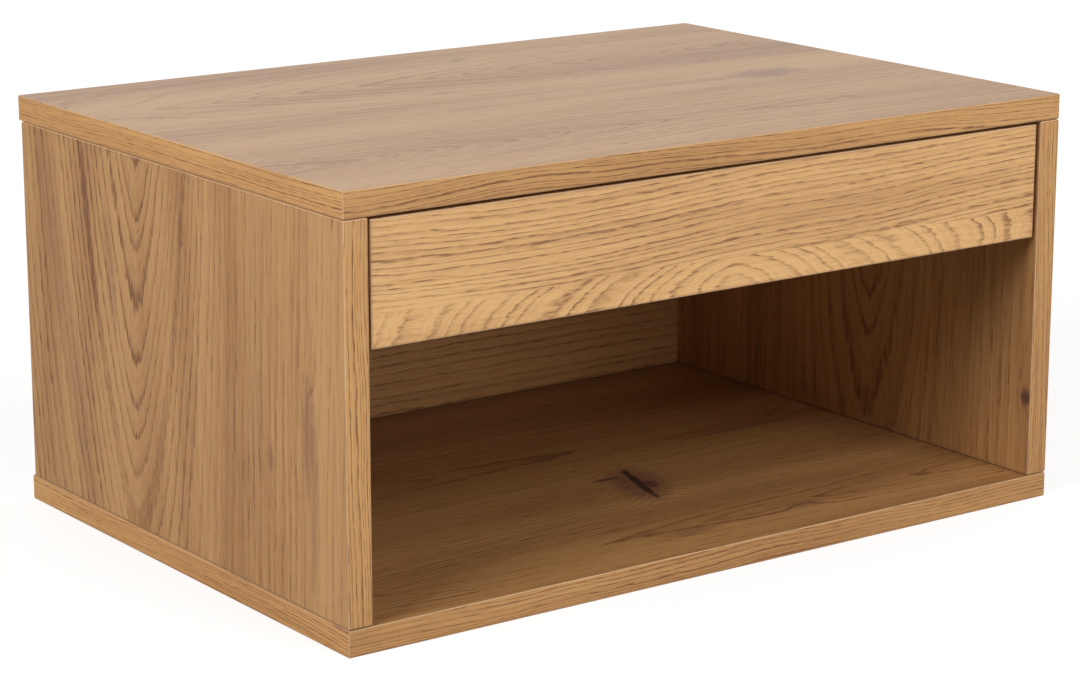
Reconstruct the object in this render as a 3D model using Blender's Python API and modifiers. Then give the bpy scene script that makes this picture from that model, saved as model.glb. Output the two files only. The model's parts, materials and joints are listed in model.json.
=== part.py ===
"""Wall-hung nightstand: one drawer on ball-bearing slides over an open niche.

Metres, +Z up. The origin is the centre of the base, the front faces -Y and left is -X.
"""

import math

import bmesh
import bpy
from mathutils import Matrix, Vector

# Cabinet
WIDTH = 0.500
DEPTH = 0.355
HEIGHT = 0.247
BOARD = 0.015  # top, bottom and side boards
BACK_BOARD = 0.012
BACK_OVERHANG = 0.003  # top and bottom reach this far behind the sides
ARRIS = 0.0008  # eased edge of every banded board

# Clearances
JOINT_GAP = 0.0003  # between two pieces that touch
BORE_GAP = 0.0003  # around and beyond a dowel, bolt or screw in its hole

# Drawer
FRONT_BOARD = 0.015
FRONT_HEIGHT = 0.068
SIDE_REVEAL = 0.002  # gap between the drawer front and each side board
TOP_REVEAL = 0.0017  # gap between the drawer front and the top board
FRONT_RECESS = 0.0013  # drawer front behind the cabinet's front edges
DRAWER_BOARD = 0.012
SIDE_DROP = 0.008  # drawer sides below the top edge of the front
FINGER_LIP = 0.010  # drawer front reaches this far below the drawer sides
REAR_SPACE = 0.0234  # between the drawer box and the back board
BOTTOM_SHEET = 0.003
BOTTOM_LIFT = 0.008  # drawer bottom above the lower edges of the drawer sides
GROOVE_DEPTH = 0.005

# Ball-bearing slides
SLIDE_SPACE = 0.0127  # between a side board and the drawer side
SLIDE_SETBACK = 0.003  # slide behind the front end of the drawer side
MEMBER_STEEL = 0.001
CABINET_MEMBER_HEIGHT = 0.035
BALL_RADIUS = 0.00145
LIP_GAP = 0.0006  # between a member's turned-in lip and the member inside it
FLANGE_END_GAP = 0.0022  # between a member's open edge and the far side of the slide
CAGE_STEEL = 0.0006
CAGE_END_GAP = 0.005  # ball cage short of the end of the overlap, fully open
CAGE_EDGE_GAP = 0.0004  # ball cage to the lips that hold it in
BALLS_PER_ROW = 5
BALL_END = 0.008  # outermost ball to the end of the cage

# Fittings
DOWEL_RADIUS = 0.004
DOWEL_LENGTH = 0.030
DOWEL_FLOOR = 0.0045  # board left beyond the end of a cabinet dowel
DOWEL_INSET = 0.050  # cabinet dowel to the nearer edge of its side board
SMALL_DOWEL_RADIUS = 0.003
SMALL_DOWEL_LENGTH = 0.025
BACK_DOWEL_INSET = 0.045  # back dowel to the nearer edge of the back board
DOWEL_CHAMFER = 0.0006
SLIDE_SCREW_RADIUS = 0.0018
SLIDE_SCREW_HEAD = 0.0034
SLIDE_SCREW_INSET = 0.037  # cabinet member's screw to the end of the slide
SLIDE_SCREW_FLOOR = 0.0033  # board left beyond the tip
MEMBER_SCREW_INSET = 0.060  # drawer member's screw to the end of the slide
PAN_HEAD_HEIGHT = 0.0019
MEMBER_SCREW_FLOOR = 0.0026
CAM_RADIUS = 0.006
CAM_FLOOR = 0.0025  # board left under the cam lock
CAM_DISTANCE = 0.024  # cam's centre to the front end of the drawer side
CAM_BOLT_LIFT = 0.004  # cam bolt's axis above the bottom of the cam lock
CAM_BOLT_RADIUS = 0.0024
CAM_BOLT_HEAD = 0.0026
CAM_BOLT_HEAD_LENGTH = 0.004
CAM_BOLT_NECK = 0.0017
CAM_BOLT_COLLAR = 0.0029
CAM_BOLT_COLLAR_LENGTH = 0.003
CAM_BOLT_THREAD = 0.011  # length inside the drawer front
FRONT_DOWEL_DROP = 0.008  # below the top edge of the drawer side
FRONT_DOWEL_DEPTH = 0.010  # into the drawer front
CAM_DROP = 0.013  # cam's centre below the front dowel's
CONFIRMAT_RADIUS = 0.0025
CONFIRMAT_HEAD = 0.0035
CONFIRMAT_LENGTH = 0.040
CONFIRMAT_RISE = 0.010  # lower one above the drawer bottom
CONFIRMAT_DROP = 0.008  # upper one below the top edge of the drawer side
BOTTOM_SCREW_RADIUS = 0.0015
BOTTOM_SCREW_HEAD = 0.0029
BOTTOM_SCREW_LENGTH = 0.016
BOTTOM_SCREW_INSET = 0.080  # to the nearer end of the drawer back
HANGER_WIDTH = 0.060
HANGER_HEIGHT = 0.030
HANGER_STEEL = 0.0015
HANGER_CORNER = 0.006
HANGER_INSET = 0.045  # plate's centre to the end of the back board
HANGER_DROP = 0.028  # plate's centre below the top edge of the back board
KEYHOLE_RADIUS = 0.0055
KEYHOLE_SLOT = 0.0050  # width of the narrow part
KEYHOLE_RISE = 0.010  # from the entry hole up to the end of the slot
HANGER_SCREW_SPACING = 0.044
HANGER_SCREW_FLOOR = 0.0038  # back board left beyond the tip
POCKET_RADIUS = 0.007
POCKET_FLOOR = 0.004  # back board left behind the keyhole

ROUND_STEPS = 12
THROUGH = 0.001  # how far a cutter runs past the face that it opens

# Places that several pieces share
FRONT = -DEPTH / 2
REAR = DEPTH / 2
INNER_HALF = WIDTH / 2 - BOARD  # middle of the cabinet to a side board's inner face
SIDE_REAR = REAR - BACK_OVERHANG
UNDER_TOP = HEIGHT - BOARD
BACK_FRONT = SIDE_REAR - BACK_BOARD  # front face of the back board
FRONT_INSIDE = FRONT + FRONT_RECESS + FRONT_BOARD  # rear face of the drawer front
FRONT_TOP = UNDER_TOP - TOP_REVEAL
FRONT_LOW = FRONT_TOP - FRONT_HEIGHT
BOX_FRONT = FRONT_INSIDE + JOINT_GAP
BOX_REAR = BACK_FRONT - REAR_SPACE
BOX_LOW = FRONT_LOW + FINGER_LIP
BOX_TOP = FRONT_TOP - SIDE_DROP
BOX_HALF = INNER_HALF - SLIDE_SPACE  # middle of the cabinet to a drawer side's outer face
BOX_INNER_HALF = BOX_HALF - DRAWER_BOARD
SHEET_LOW = BOX_LOW + BOTTOM_LIFT
SHEET_TOP = SHEET_LOW + BOTTOM_SHEET
DRAWER_BACK_MIDDLE = BOX_REAR - DRAWER_BOARD / 2
SLIDE_FRONT = BOX_FRONT + SLIDE_SETBACK
SLIDE_LENGTH = BOX_REAR - BOX_FRONT
SLIDE_REAR = SLIDE_FRONT + SLIDE_LENGTH
SLIDE_TRAVEL = SLIDE_LENGTH
SLIDE_MIDDLE = (BOX_LOW + BOX_TOP) / 2
BALL_RACE = 2 * (BALL_RADIUS + JOINT_GAP)  # between the flanges of two members
INTERMEDIATE_HEIGHT = CABINET_MEMBER_HEIGHT - 2 * (MEMBER_STEEL + BALL_RACE)
DRAWER_MEMBER_HEIGHT = INTERMEDIATE_HEIGHT - 2 * (MEMBER_STEEL + BALL_RACE)
MEMBER_LIP = MEMBER_STEEL + BALL_RACE - LIP_GAP

# Colour, roughness and metallic value of each finish
OAK = ((0.52, 0.32, 0.16), 0.55, 0.0)
BOTTOM_FOIL = ((0.72, 0.68, 0.60), 0.60, 0.0)
BEECH = ((0.62, 0.45, 0.28), 0.75, 0.0)
ZINC = ((0.70, 0.71, 0.72), 0.35, 1.0)
CAGE_ZINC = ((0.55, 0.56, 0.58), 0.30, 1.0)
CAM_ALLOY = ((0.50, 0.50, 0.49), 0.50, 1.0)

SIDES = ((-1, "left"), (1, "right"))


# Making and cutting

def new_collection(name):
    collection = bpy.data.collections.new(name)
    bpy.context.scene.collection.children.link(collection)
    return collection


def paint(obj, finish):
    colour, roughness, metallic = finish
    material = bpy.data.materials.new(obj.name)
    material.use_nodes = True
    shader = material.node_tree.nodes["Principled BSDF"]
    shader.inputs["Base Color"].default_value = (*colour, 1.0)
    shader.inputs["Roughness"].default_value = roughness
    shader.inputs["Metallic"].default_value = metallic
    obj.data.materials.append(material)


def place(name, mesh, centre, finish, empty):
    """A piece with its origin at centre, in the nightstand's collection."""
    obj = bpy.data.objects.new(name, mesh)
    obj.location = centre
    if empty:
        obj.parent = empty
        obj.matrix_parent_inverse = Matrix.Translation(-empty.location)
    nightstand.objects.link(obj)
    paint(obj, finish)
    return obj


def place_cutter(name, mesh, centre):
    cutter = bpy.data.objects.new(name, mesh)
    cutter.location = centre
    cutter.hide_render = True
    cutter.display_type = "WIRE"
    cutters.objects.link(cutter)
    return cutter


def box_mesh(name, low, high):
    """A box with its origin at its middle, and the place of that middle."""
    low, high = Vector(low), Vector(high)
    mesh = bpy.data.meshes.new(name)
    shape = bmesh.new()
    bmesh.ops.create_cube(shape, size=1.0, matrix=Matrix.Diagonal((*(high - low), 1.0)))
    shape.to_mesh(mesh)
    shape.free()
    return mesh, (low + high) / 2


def board(name, low, high, finish=OAK, empty=None, arris=ARRIS):
    mesh, centre = box_mesh(name, low, high)
    obj = place(name, mesh, centre, finish, empty)
    bevel = obj.modifiers.new("eased edges", "BEVEL")
    bevel.width = arris
    bevel.segments = 2
    return obj


def box_cutter(name, low, high):
    return place_cutter(name, *box_mesh(name, low, high))


def evaluated_mesh(guide):
    """The mesh that a guide object makes. The guide is removed."""
    cutters.objects.link(guide)
    bpy.context.view_layer.update()
    evaluated = guide.evaluated_get(bpy.context.evaluated_depsgraph_get())
    mesh = bpy.data.meshes.new_from_object(evaluated)
    bpy.data.objects.remove(guide)
    return mesh


def turned_mesh(name, profile, axis):
    """A profile of (radius, height) points turned about axis. It runs from the top down."""
    guide_mesh = bpy.data.meshes.new(name)
    points = [(radius, 0.0, height) for radius, height in profile]
    guide_mesh.from_pydata(points, [(i, i + 1) for i in range(len(points) - 1)], [])
    guide = bpy.data.objects.new(name, guide_mesh)
    screw = guide.modifiers.new("turn", "SCREW")
    screw.steps = screw.render_steps = ROUND_STEPS
    screw.use_merge_vertices = True
    screw.merge_threshold = 0.00001
    mesh = evaluated_mesh(guide)
    mesh.transform(Vector(axis).to_track_quat("Z", "Y").to_matrix().to_4x4())
    mesh.shade_smooth()
    mesh.set_sharp_from_angle(angle=math.radians(35))
    return mesh


def turned(name, profile, centre, axis, finish, empty=None):
    return place(name, turned_mesh(name, profile, axis), centre, finish, empty)


def turned_cutter(name, profile, centre, axis):
    return place_cutter(name, turned_mesh(name, profile, axis), centre)


def cut(target, cutter):
    boolean = target.modifiers.new(cutter.name, "BOOLEAN")
    boolean.operation = "DIFFERENCE"
    boolean.solver = "EXACT"
    boolean.object = cutter


def drill(targets, name, profile, centre, axis):
    cutter = turned_cutter(name + "_hole", profile, centre, axis)
    for target in targets:
        cut(target, cutter)


# Profiles of (radius, height), from the top down. A clearance makes the matching hole.

def rod_profile(radius, low, high, chamfer=0.0):
    if chamfer == 0.0:
        return [(0, high), (radius, high), (radius, low), (0, low)]
    return [
        (0, high), (radius - chamfer, high), (radius, high - chamfer),
        (radius, low + chamfer), (radius - chamfer, low), (0, low),
    ]


def countersunk_profile(head, radius, length, clearance=0.0):
    """A flat head flush at height 0 over a 45 degree cone, a shank and a blunt point."""
    cone = head - radius
    opening = [(0, THROUGH), (head + clearance, THROUGH)] if clearance else [(0, 0)]
    return opening + [
        (head + clearance, 0), (radius + clearance, -cone),
        (radius + clearance, -(length - radius)), (radius / 2 + clearance, -length - clearance),
        (0, -length - clearance),
    ]


def pan_head_profile(head, radius, length):
    """A domed head standing on height 0, a shank and a blunt point below it."""
    return [
        (0, PAN_HEAD_HEIGHT), (head * 0.6, PAN_HEAD_HEIGHT * 0.9), (head, PAN_HEAD_HEIGHT * 0.4),
        (head, 0), (radius, 0), (radius, -(length - radius)), (radius / 2, -length), (0, -length),
    ]


def cam_bolt_profile():
    """Head, neck, collar and thread, with height 0 at the rear face of the drawer front."""
    head_high = CAM_DISTANCE + CAM_BOLT_HEAD_LENGTH / 2
    head_low = CAM_DISTANCE - CAM_BOLT_HEAD_LENGTH / 2
    collar_high = JOINT_GAP + CAM_BOLT_COLLAR_LENGTH
    taper_high = collar_high + CAM_BOLT_COLLAR - CAM_BOLT_NECK
    return [
        (0, head_high), (CAM_BOLT_HEAD, head_high), (CAM_BOLT_HEAD, head_low),
        (CAM_BOLT_NECK, head_low), (CAM_BOLT_NECK, taper_high), (CAM_BOLT_COLLAR, collar_high),
        (CAM_BOLT_COLLAR, JOINT_GAP), (CAM_BOLT_RADIUS, JOINT_GAP),
        (CAM_BOLT_RADIUS, -CAM_BOLT_THREAD), (0, -CAM_BOLT_THREAD),
    ]


# Cabinet boards

def make_cabinet_boards():
    rest_low = BOARD + JOINT_GAP
    rest_high = UNDER_TOP - JOINT_GAP
    boards = {
        "top": board("top_panel", (-WIDTH / 2, FRONT, UNDER_TOP), (WIDTH / 2, REAR, HEIGHT)),
        "bottom": board("bottom_panel", (-WIDTH / 2, FRONT, 0), (WIDTH / 2, REAR, BOARD)),
    }
    for side, word in SIDES:
        across = sorted((side * INNER_HALF, side * WIDTH / 2))
        boards[word] = board(
            word + "_side_panel", (across[0], FRONT, rest_low), (across[1], SIDE_REAR, rest_high)
        )
    back_half = INNER_HALF - JOINT_GAP
    boards["back"] = board(
        "back_panel", (-back_half, BACK_FRONT, rest_low), (back_half, SIDE_REAR, rest_high)
    )
    return boards


def dowel(name, targets, radius, length, centre, axis, empty=None):
    """A dowel centred on centre, and its hole in each target."""
    half = length / 2
    turned(name, rod_profile(radius, -half, half, DOWEL_CHAMFER), centre, axis, BEECH, empty)
    hole = rod_profile(radius + BORE_GAP, -half - BORE_GAP, half + BORE_GAP)
    drill(targets, name, hole, centre, axis)


def make_cabinet_dowels(boards):
    reach = DOWEL_LENGTH / 2 + DOWEL_FLOOR
    heights = {"top": HEIGHT - reach, "bottom": reach}
    depths = {"front": FRONT + DOWEL_INSET, "rear": SIDE_REAR - DOWEL_INSET}
    for side, word in SIDES:
        for level, z in heights.items():
            for end, y in depths.items():
                dowel(
                    f"dowel_{level}_{word}_{end}", (boards[level], boards[word]), DOWEL_RADIUS,
                    DOWEL_LENGTH, (side * (WIDTH - BOARD) / 2, y, z), (0, 0, 1),
                )


def make_back_dowels(boards):
    x = WIDTH / 2 - DOWEL_FLOOR - SMALL_DOWEL_LENGTH / 2
    y = SIDE_REAR - BACK_BOARD / 2
    levels = {"low": BOARD + BACK_DOWEL_INSET, "high": UNDER_TOP - BACK_DOWEL_INSET}
    for side, word in SIDES:
        for level, z in levels.items():
            dowel(
                f"back_dowel_{word}_{level}", (boards[word], boards["back"]), SMALL_DOWEL_RADIUS,
                SMALL_DOWEL_LENGTH, (side * x, y, z), (1, 0, 0),
            )


# Hanger plates on the rear of the back board

def make_hangers(back):
    plate_front = SIDE_REAR + JOINT_GAP
    plate_rear = plate_front + HANGER_STEEL
    pocket_floor = BACK_FRONT + POCKET_FLOOR
    screw_length = plate_rear - BACK_FRONT - HANGER_SCREW_FLOOR
    z = UNDER_TOP - HANGER_DROP
    for side, word in SIDES:
        x = side * (INNER_HALF - HANGER_INSET)
        plate_mesh = flat_mesh("hanger_plate_" + word, [plate_outline(), keyhole_outline()], HANGER_STEEL)
        plate = place("hanger_plate_" + word, plate_mesh, (x, (plate_front + plate_rear) / 2, z), ZINC, None)
        depth = REAR + THROUGH - pocket_floor
        pocket = flat_mesh("hanger_pocket_" + word, [slot_outline(POCKET_RADIUS)], depth)
        cut(back, place_cutter("hanger_pocket_" + word, pocket, (x, pocket_floor + depth / 2, z)))
        for offset, end in ((-side, "inner"), (side, "outer")):
            name = f"hanger_screw_{word}_{end}"
            centre = (x + offset * HANGER_SCREW_SPACING / 2, plate_rear, z)
            sizes = (SLIDE_SCREW_HEAD, SLIDE_SCREW_RADIUS, screw_length)
            turned(name, countersunk_profile(*sizes), centre, (0, 1, 0), ZINC)
            drill((plate, back), name, countersunk_profile(*sizes, BORE_GAP), centre, (0, 1, 0))


def arc(x, z, radius, start, end, steps):
    """Points round (x, z) from one angle to another, in degrees."""
    angles = [math.radians(start + (end - start) * i / steps) for i in range(steps + 1)]
    return [(x + radius * math.cos(a), z + radius * math.sin(a)) for a in angles]


def plate_outline():
    """A rectangle with rounded corners."""
    u = HANGER_WIDTH / 2 - HANGER_CORNER
    v = HANGER_HEIGHT / 2 - HANGER_CORNER
    corners = ((u, v, 0), (-u, v, 90), (-u, -v, 180), (u, -v, 270))
    return [p for x, z, start in corners for p in arc(x, z, HANGER_CORNER, start, start + 90, 4)]


def slot_outline(radius):
    """An upright slot with round ends, about the same centre as the keyhole."""
    rise = KEYHOLE_RISE / 2
    steps = ROUND_STEPS // 2
    return arc(0, rise, radius, 0, 180, steps) + arc(0, -rise, radius, 180, 360, steps)


def keyhole_outline():
    """A round entry with a narrow slot that rises from it."""
    rise = KEYHOLE_RISE / 2
    half = KEYHOLE_SLOT / 2
    meet = math.degrees(math.asin(half / KEYHOLE_RADIUS))
    entry = arc(0, -rise, KEYHOLE_RADIUS, 90 + meet, 450 - meet, ROUND_STEPS)
    return entry + arc(0, rise, half, 0, 180, ROUND_STEPS // 2)


def flat_mesh(name, outlines, thickness):
    """Flat stock that faces along Y. The first outline is its edge, the others are holes."""
    curve = bpy.data.curves.new(name, "CURVE")
    curve.dimensions = "2D"
    curve.fill_mode = "BOTH"
    curve.extrude = thickness / 2
    for outline in outlines:
        spline = curve.splines.new("POLY")
        spline.points.add(len(outline) - 1)
        for point, (x, z) in zip(spline.points, outline):
            point.co = (x, z, 0, 1)
        spline.use_cyclic_u = True
    guide = bpy.data.objects.new(name, curve)
    mesh = evaluated_mesh(guide)
    shape = bmesh.new()
    shape.from_mesh(mesh)
    bmesh.ops.remove_doubles(shape, verts=shape.verts, dist=0.000001)
    bmesh.ops.transform(shape, matrix=Matrix.Rotation(math.pi / 2, 4, "X"), verts=shape.verts)
    shape.to_mesh(mesh)
    shape.free()
    return mesh


# Drawer

def make_drawer_boards(empty):
    front_half = INNER_HALF - SIDE_REVEAL
    boards = {
        "front": board(
            "drawer_front", (-front_half, FRONT + FRONT_RECESS, FRONT_LOW),
            (front_half, FRONT_INSIDE, FRONT_TOP), OAK, empty,
        )
    }
    for side, word in SIDES:
        across = sorted((side * BOX_INNER_HALF, side * BOX_HALF))
        boards[word] = board(
            f"drawer_{word}_side", (across[0], BOX_FRONT, BOX_LOW), (across[1], BOX_REAR, BOX_TOP),
            OAK, empty,
        )
    back_half = BOX_INNER_HALF - JOINT_GAP
    boards["back"] = board(
        "drawer_back", (-back_half, BOX_REAR - DRAWER_BOARD, SHEET_TOP + JOINT_GAP),
        (back_half, BOX_REAR, BOX_TOP), OAK, empty,
    )
    sheet_half = BOX_INNER_HALF + GROOVE_DEPTH - BORE_GAP
    sheet_front = FRONT_INSIDE - GROOVE_DEPTH + BORE_GAP
    boards["sheet"] = board(
        "drawer_bottom", (-sheet_half, sheet_front, SHEET_LOW), (sheet_half, BOX_REAR, SHEET_TOP),
        BOTTOM_FOIL, empty, JOINT_GAP,
    )
    groove_half = BOX_INNER_HALF + GROOVE_DEPTH
    groove = box_cutter(
        "bottom_groove", (-groove_half, FRONT_INSIDE - GROOVE_DEPTH, SHEET_LOW - BORE_GAP),
        (groove_half, BOX_REAR + THROUGH, SHEET_TOP + BORE_GAP),
    )
    for word in ("front", "left", "right"):
        cut(boards[word], groove)
    return boards


def make_front_fittings(boards, empty):
    """Cam lock, cam bolt and dowel that hold the drawer front to each drawer side."""
    cam_depth = DRAWER_BOARD - CAM_FLOOR
    head_hole = CAM_BOLT_COLLAR + BORE_GAP
    dowel_z = BOX_TOP - FRONT_DOWEL_DROP
    cam_z = dowel_z - CAM_DROP
    cam_y = BOX_FRONT + CAM_DISTANCE - JOINT_GAP
    dowel_y = FRONT_INSIDE - FRONT_DOWEL_DEPTH + SMALL_DOWEL_LENGTH / 2
    for side, word in SIDES:
        bolt_x = side * (BOX_INNER_HALF + cam_depth - CAM_BOLT_LIFT)
        bolt_centre = (bolt_x, FRONT_INSIDE, cam_z)
        turned("cam_bolt_" + word, cam_bolt_profile(), bolt_centre, (0, 1, 0), ZINC, empty)
        drill((boards["front"],), "cam_bolt_thread_" + word,
              rod_profile(CAM_BOLT_RADIUS + BORE_GAP, -CAM_BOLT_THREAD - BORE_GAP, THROUGH),
              bolt_centre, (0, 1, 0))
        drill((boards[word],), "cam_bolt_channel_" + word,
              rod_profile(head_hole, -THROUGH, CAM_DISTANCE), bolt_centre, (0, 1, 0))

        cam_centre = (side * BOX_INNER_HALF, cam_y, cam_z)
        outward = (-side, 0, 0)
        cam = turned("cam_lock_" + word, rod_profile(CAM_RADIUS, -cam_depth, 0, DOWEL_CHAMFER),
                     cam_centre, outward, CAM_ALLOY, empty)
        drill((boards[word],), "cam_seat_" + word,
              rod_profile(CAM_RADIUS + BORE_GAP, -cam_depth - BORE_GAP, THROUGH), cam_centre, outward)
        drill((cam,), "cam_mouth_" + word,
              rod_profile(head_hole, CAM_DISTANCE - 2 * CAM_RADIUS,
                          CAM_DISTANCE + CAM_BOLT_HEAD_LENGTH / 2 + BORE_GAP),
              bolt_centre, (0, 1, 0))

        middle = side * (BOX_HALF - DRAWER_BOARD / 2)
        dowel("front_dowel_" + word, (boards["front"], boards[word]), SMALL_DOWEL_RADIUS,
              SMALL_DOWEL_LENGTH, (middle, dowel_y, dowel_z), (0, 1, 0), empty)


def make_drawer_screws(boards, empty):
    """Confirmat screws into the ends of the drawer back, and screws up through the bottom."""
    sizes = (CONFIRMAT_HEAD, CONFIRMAT_RADIUS, CONFIRMAT_LENGTH)
    bottom_sizes = (BOTTOM_SCREW_HEAD, BOTTOM_SCREW_RADIUS, BOTTOM_SCREW_LENGTH)
    for side, word in SIDES:
        for level, z in {"low": SHEET_TOP + CONFIRMAT_RISE, "high": BOX_TOP - CONFIRMAT_DROP}.items():
            name = f"confirmat_{word}_{level}"
            centre = (side * BOX_HALF, DRAWER_BACK_MIDDLE, z)
            turned(name, countersunk_profile(*sizes), centre, (side, 0, 0), ZINC, empty)
            drill((boards[word], boards["back"]), name, countersunk_profile(*sizes, BORE_GAP),
                  centre, (side, 0, 0))
        name = "bottom_screw_" + word
        centre = (side * (BOX_INNER_HALF - BOTTOM_SCREW_INSET), DRAWER_BACK_MIDDLE, SHEET_LOW)
        turned(name, countersunk_profile(*bottom_sizes), centre, (0, 0, -1), ZINC, empty)
        drill((boards["sheet"], boards["back"]), name,
              countersunk_profile(*bottom_sizes, BORE_GAP), centre, (0, 0, -1))


# Slides. A section point is (distance from the side board, height above the slide's middle).

def channel_section(web, open_edge, height, lip):
    """Outer face of a channel that is open away from its web, with its lips turned in."""
    half = height / 2
    upper = [(open_edge, half), (web, half)]
    if lip:
        upper.insert(0, (open_edge, half - lip))
    return upper + [(x, -z) for x, z in reversed(upper)]


def folded_sheet(name, section, steel, ends, side, finish, empty):
    """Sheet steel folded along Y. The section is its outer face, the steel goes inwards."""
    points = [(side * (INNER_HALF - x), z + SLIDE_MIDDLE) for x, z in section]
    opening = section[0][0] - section[len(section) // 2][0]  # from the web to the open edge
    if side * opening < 0:
        points.reverse()
    shape = bmesh.new()
    rows = [[shape.verts.new((x, y, z)) for x, z in points] for y in ends]
    for i in range(len(points) - 1):
        shape.faces.new((rows[0][i], rows[0][i + 1], rows[1][i + 1], rows[1][i]))
    centre = Vector((side * INNER_HALF, (ends[0] + ends[1]) / 2, SLIDE_MIDDLE))
    bmesh.ops.translate(shape, verts=shape.verts, vec=-centre)
    mesh = bpy.data.meshes.new(name)
    shape.to_mesh(mesh)
    shape.free()
    obj = place(name, mesh, centre, finish, empty)
    solidify = obj.modifiers.new("steel", "SOLIDIFY")
    solidify.thickness = steel
    solidify.offset = -1.0
    solidify.use_even_offset = True
    return obj


def add_balls(cage, name, x, row_height, ends):
    """Two rows of balls, joined to the cage that carries them."""
    step = (ends[1] - ends[0] - 2 * BALL_END) / (BALLS_PER_ROW - 1)
    shape = bmesh.new()
    for i in range(BALLS_PER_ROW):
        for z in (-row_height, row_height):
            centre = Matrix.Translation((x, ends[0] + BALL_END + i * step, SLIDE_MIDDLE + z))
            bmesh.ops.create_uvsphere(
                shape, u_segments=8, v_segments=6, radius=BALL_RADIUS, matrix=centre
            )
    mesh = bpy.data.meshes.new(name)
    shape.to_mesh(mesh)
    shape.free()
    balls = place_cutter(name, mesh, (0, 0, 0))
    union = cage.modifiers.new("balls", "BOOLEAN")
    union.operation = "UNION"
    union.solver = "EXACT"
    union.object = balls


def ball_cage(name, web, lip_face, inner_height, side, empty):
    """A folded strip round a member of inner_height, with a row of balls above and one below."""
    middle = SLIDE_FRONT + SLIDE_LENGTH / 2
    half_length = (SLIDE_LENGTH - SLIDE_TRAVEL / 2) / 2 - CAGE_END_GAP
    ends = (middle - half_length, middle + half_length)
    row = (inner_height + BALL_RACE) / 2
    edge = lip_face - CAGE_EDGE_GAP
    section = channel_section(web, edge, 2 * row + CAGE_STEEL, 0)
    cage = folded_sheet(name, section, CAGE_STEEL, ends, side, CAGE_ZINC, empty)
    ball_x = side * (INNER_HALF - (edge - BALL_RADIUS - CAGE_EDGE_GAP))
    add_balls(cage, name + "_balls", ball_x, row, ends)


def make_slide(side, word, side_board, drawer_side, drawer, empties):
    open_edge = SLIDE_SPACE - FLANGE_END_GAP
    cabinet_web = JOINT_GAP
    outer_cage_web = cabinet_web + MEMBER_STEEL + JOINT_GAP
    intermediate_web = outer_cage_web + CAGE_STEEL + JOINT_GAP
    inner_cage_web = intermediate_web + MEMBER_STEEL + JOINT_GAP
    drawer_flange = inner_cage_web + CAGE_STEEL + JOINT_GAP
    drawer_web = SLIDE_SPACE - JOINT_GAP
    ends = (SLIDE_FRONT, SLIDE_REAR)

    cabinet_member = folded_sheet(
        word + "_cabinet_member",
        channel_section(cabinet_web, open_edge - JOINT_GAP, CABINET_MEMBER_HEIGHT, MEMBER_LIP),
        MEMBER_STEEL, ends, side, ZINC, None,
    )
    folded_sheet(
        word + "_intermediate_member",
        channel_section(intermediate_web, open_edge, INTERMEDIATE_HEIGHT, MEMBER_LIP),
        MEMBER_STEEL, ends, side, ZINC, empties[word + "_intermediate"],
    )
    drawer_member = folded_sheet(
        word + "_drawer_member", channel_section(drawer_web, drawer_flange, DRAWER_MEMBER_HEIGHT, 0),
        MEMBER_STEEL, ends, side, ZINC, drawer,
    )
    ball_cage(
        word + "_outer_ball_cage", outer_cage_web, open_edge - JOINT_GAP - MEMBER_STEEL,
        INTERMEDIATE_HEIGHT, side, empties[word + "_outer_cage"],
    )
    ball_cage(
        word + "_inner_ball_cage", inner_cage_web, open_edge - MEMBER_STEEL,
        DRAWER_MEMBER_HEIGHT, side, empties[word + "_inner_cage"],
    )
    make_slide_screws(side, word, (cabinet_member, side_board), (drawer_member, drawer_side), drawer)


def make_slide_screws(side, word, cabinet_targets, drawer_targets, drawer):
    flush = JOINT_GAP + MEMBER_STEEL  # inner face of the cabinet member's web
    length = flush + BOARD - SLIDE_SCREW_FLOOR
    sizes = (SLIDE_SCREW_HEAD, SLIDE_SCREW_RADIUS, length)
    for end, y in {"front": SLIDE_FRONT + SLIDE_SCREW_INSET,
                   "rear": SLIDE_REAR - SLIDE_SCREW_INSET}.items():
        name = f"{word}_cabinet_member_screw_{end}"
        centre = (side * (INNER_HALF - flush), y, SLIDE_MIDDLE)
        turned(name, countersunk_profile(*sizes), centre, (-side, 0, 0), ZINC)
        drill(cabinet_targets, name, countersunk_profile(*sizes, BORE_GAP), centre, (-side, 0, 0))

    seat = SLIDE_SPACE - 2 * JOINT_GAP - MEMBER_STEEL  # under the pan head
    length = SLIDE_SPACE - seat + DRAWER_BOARD - MEMBER_SCREW_FLOOR
    hole = rod_profile(SLIDE_SCREW_RADIUS + BORE_GAP, -length - BORE_GAP, THROUGH)
    for end, y in {"front": SLIDE_FRONT + MEMBER_SCREW_INSET,
                   "rear": SLIDE_REAR - MEMBER_SCREW_INSET}.items():
        name = f"{word}_drawer_member_screw_{end}"
        centre = (side * (INNER_HALF - seat), y, SLIDE_MIDDLE)
        profile = pan_head_profile(SLIDE_SCREW_HEAD, SLIDE_SCREW_RADIUS, length)
        turned(name, profile, centre, (side, 0, 0), ZINC, drawer)
        drill(drawer_targets, name, hole, centre, (side, 0, 0))


# Assembly

def joint_empty(name, location):
    """An empty on the line that a moving group slides along."""
    empty = bpy.data.objects.new(name, None)
    empty.empty_display_size = 0.02
    empty.location = location
    nightstand.objects.link(empty)
    return empty


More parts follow.
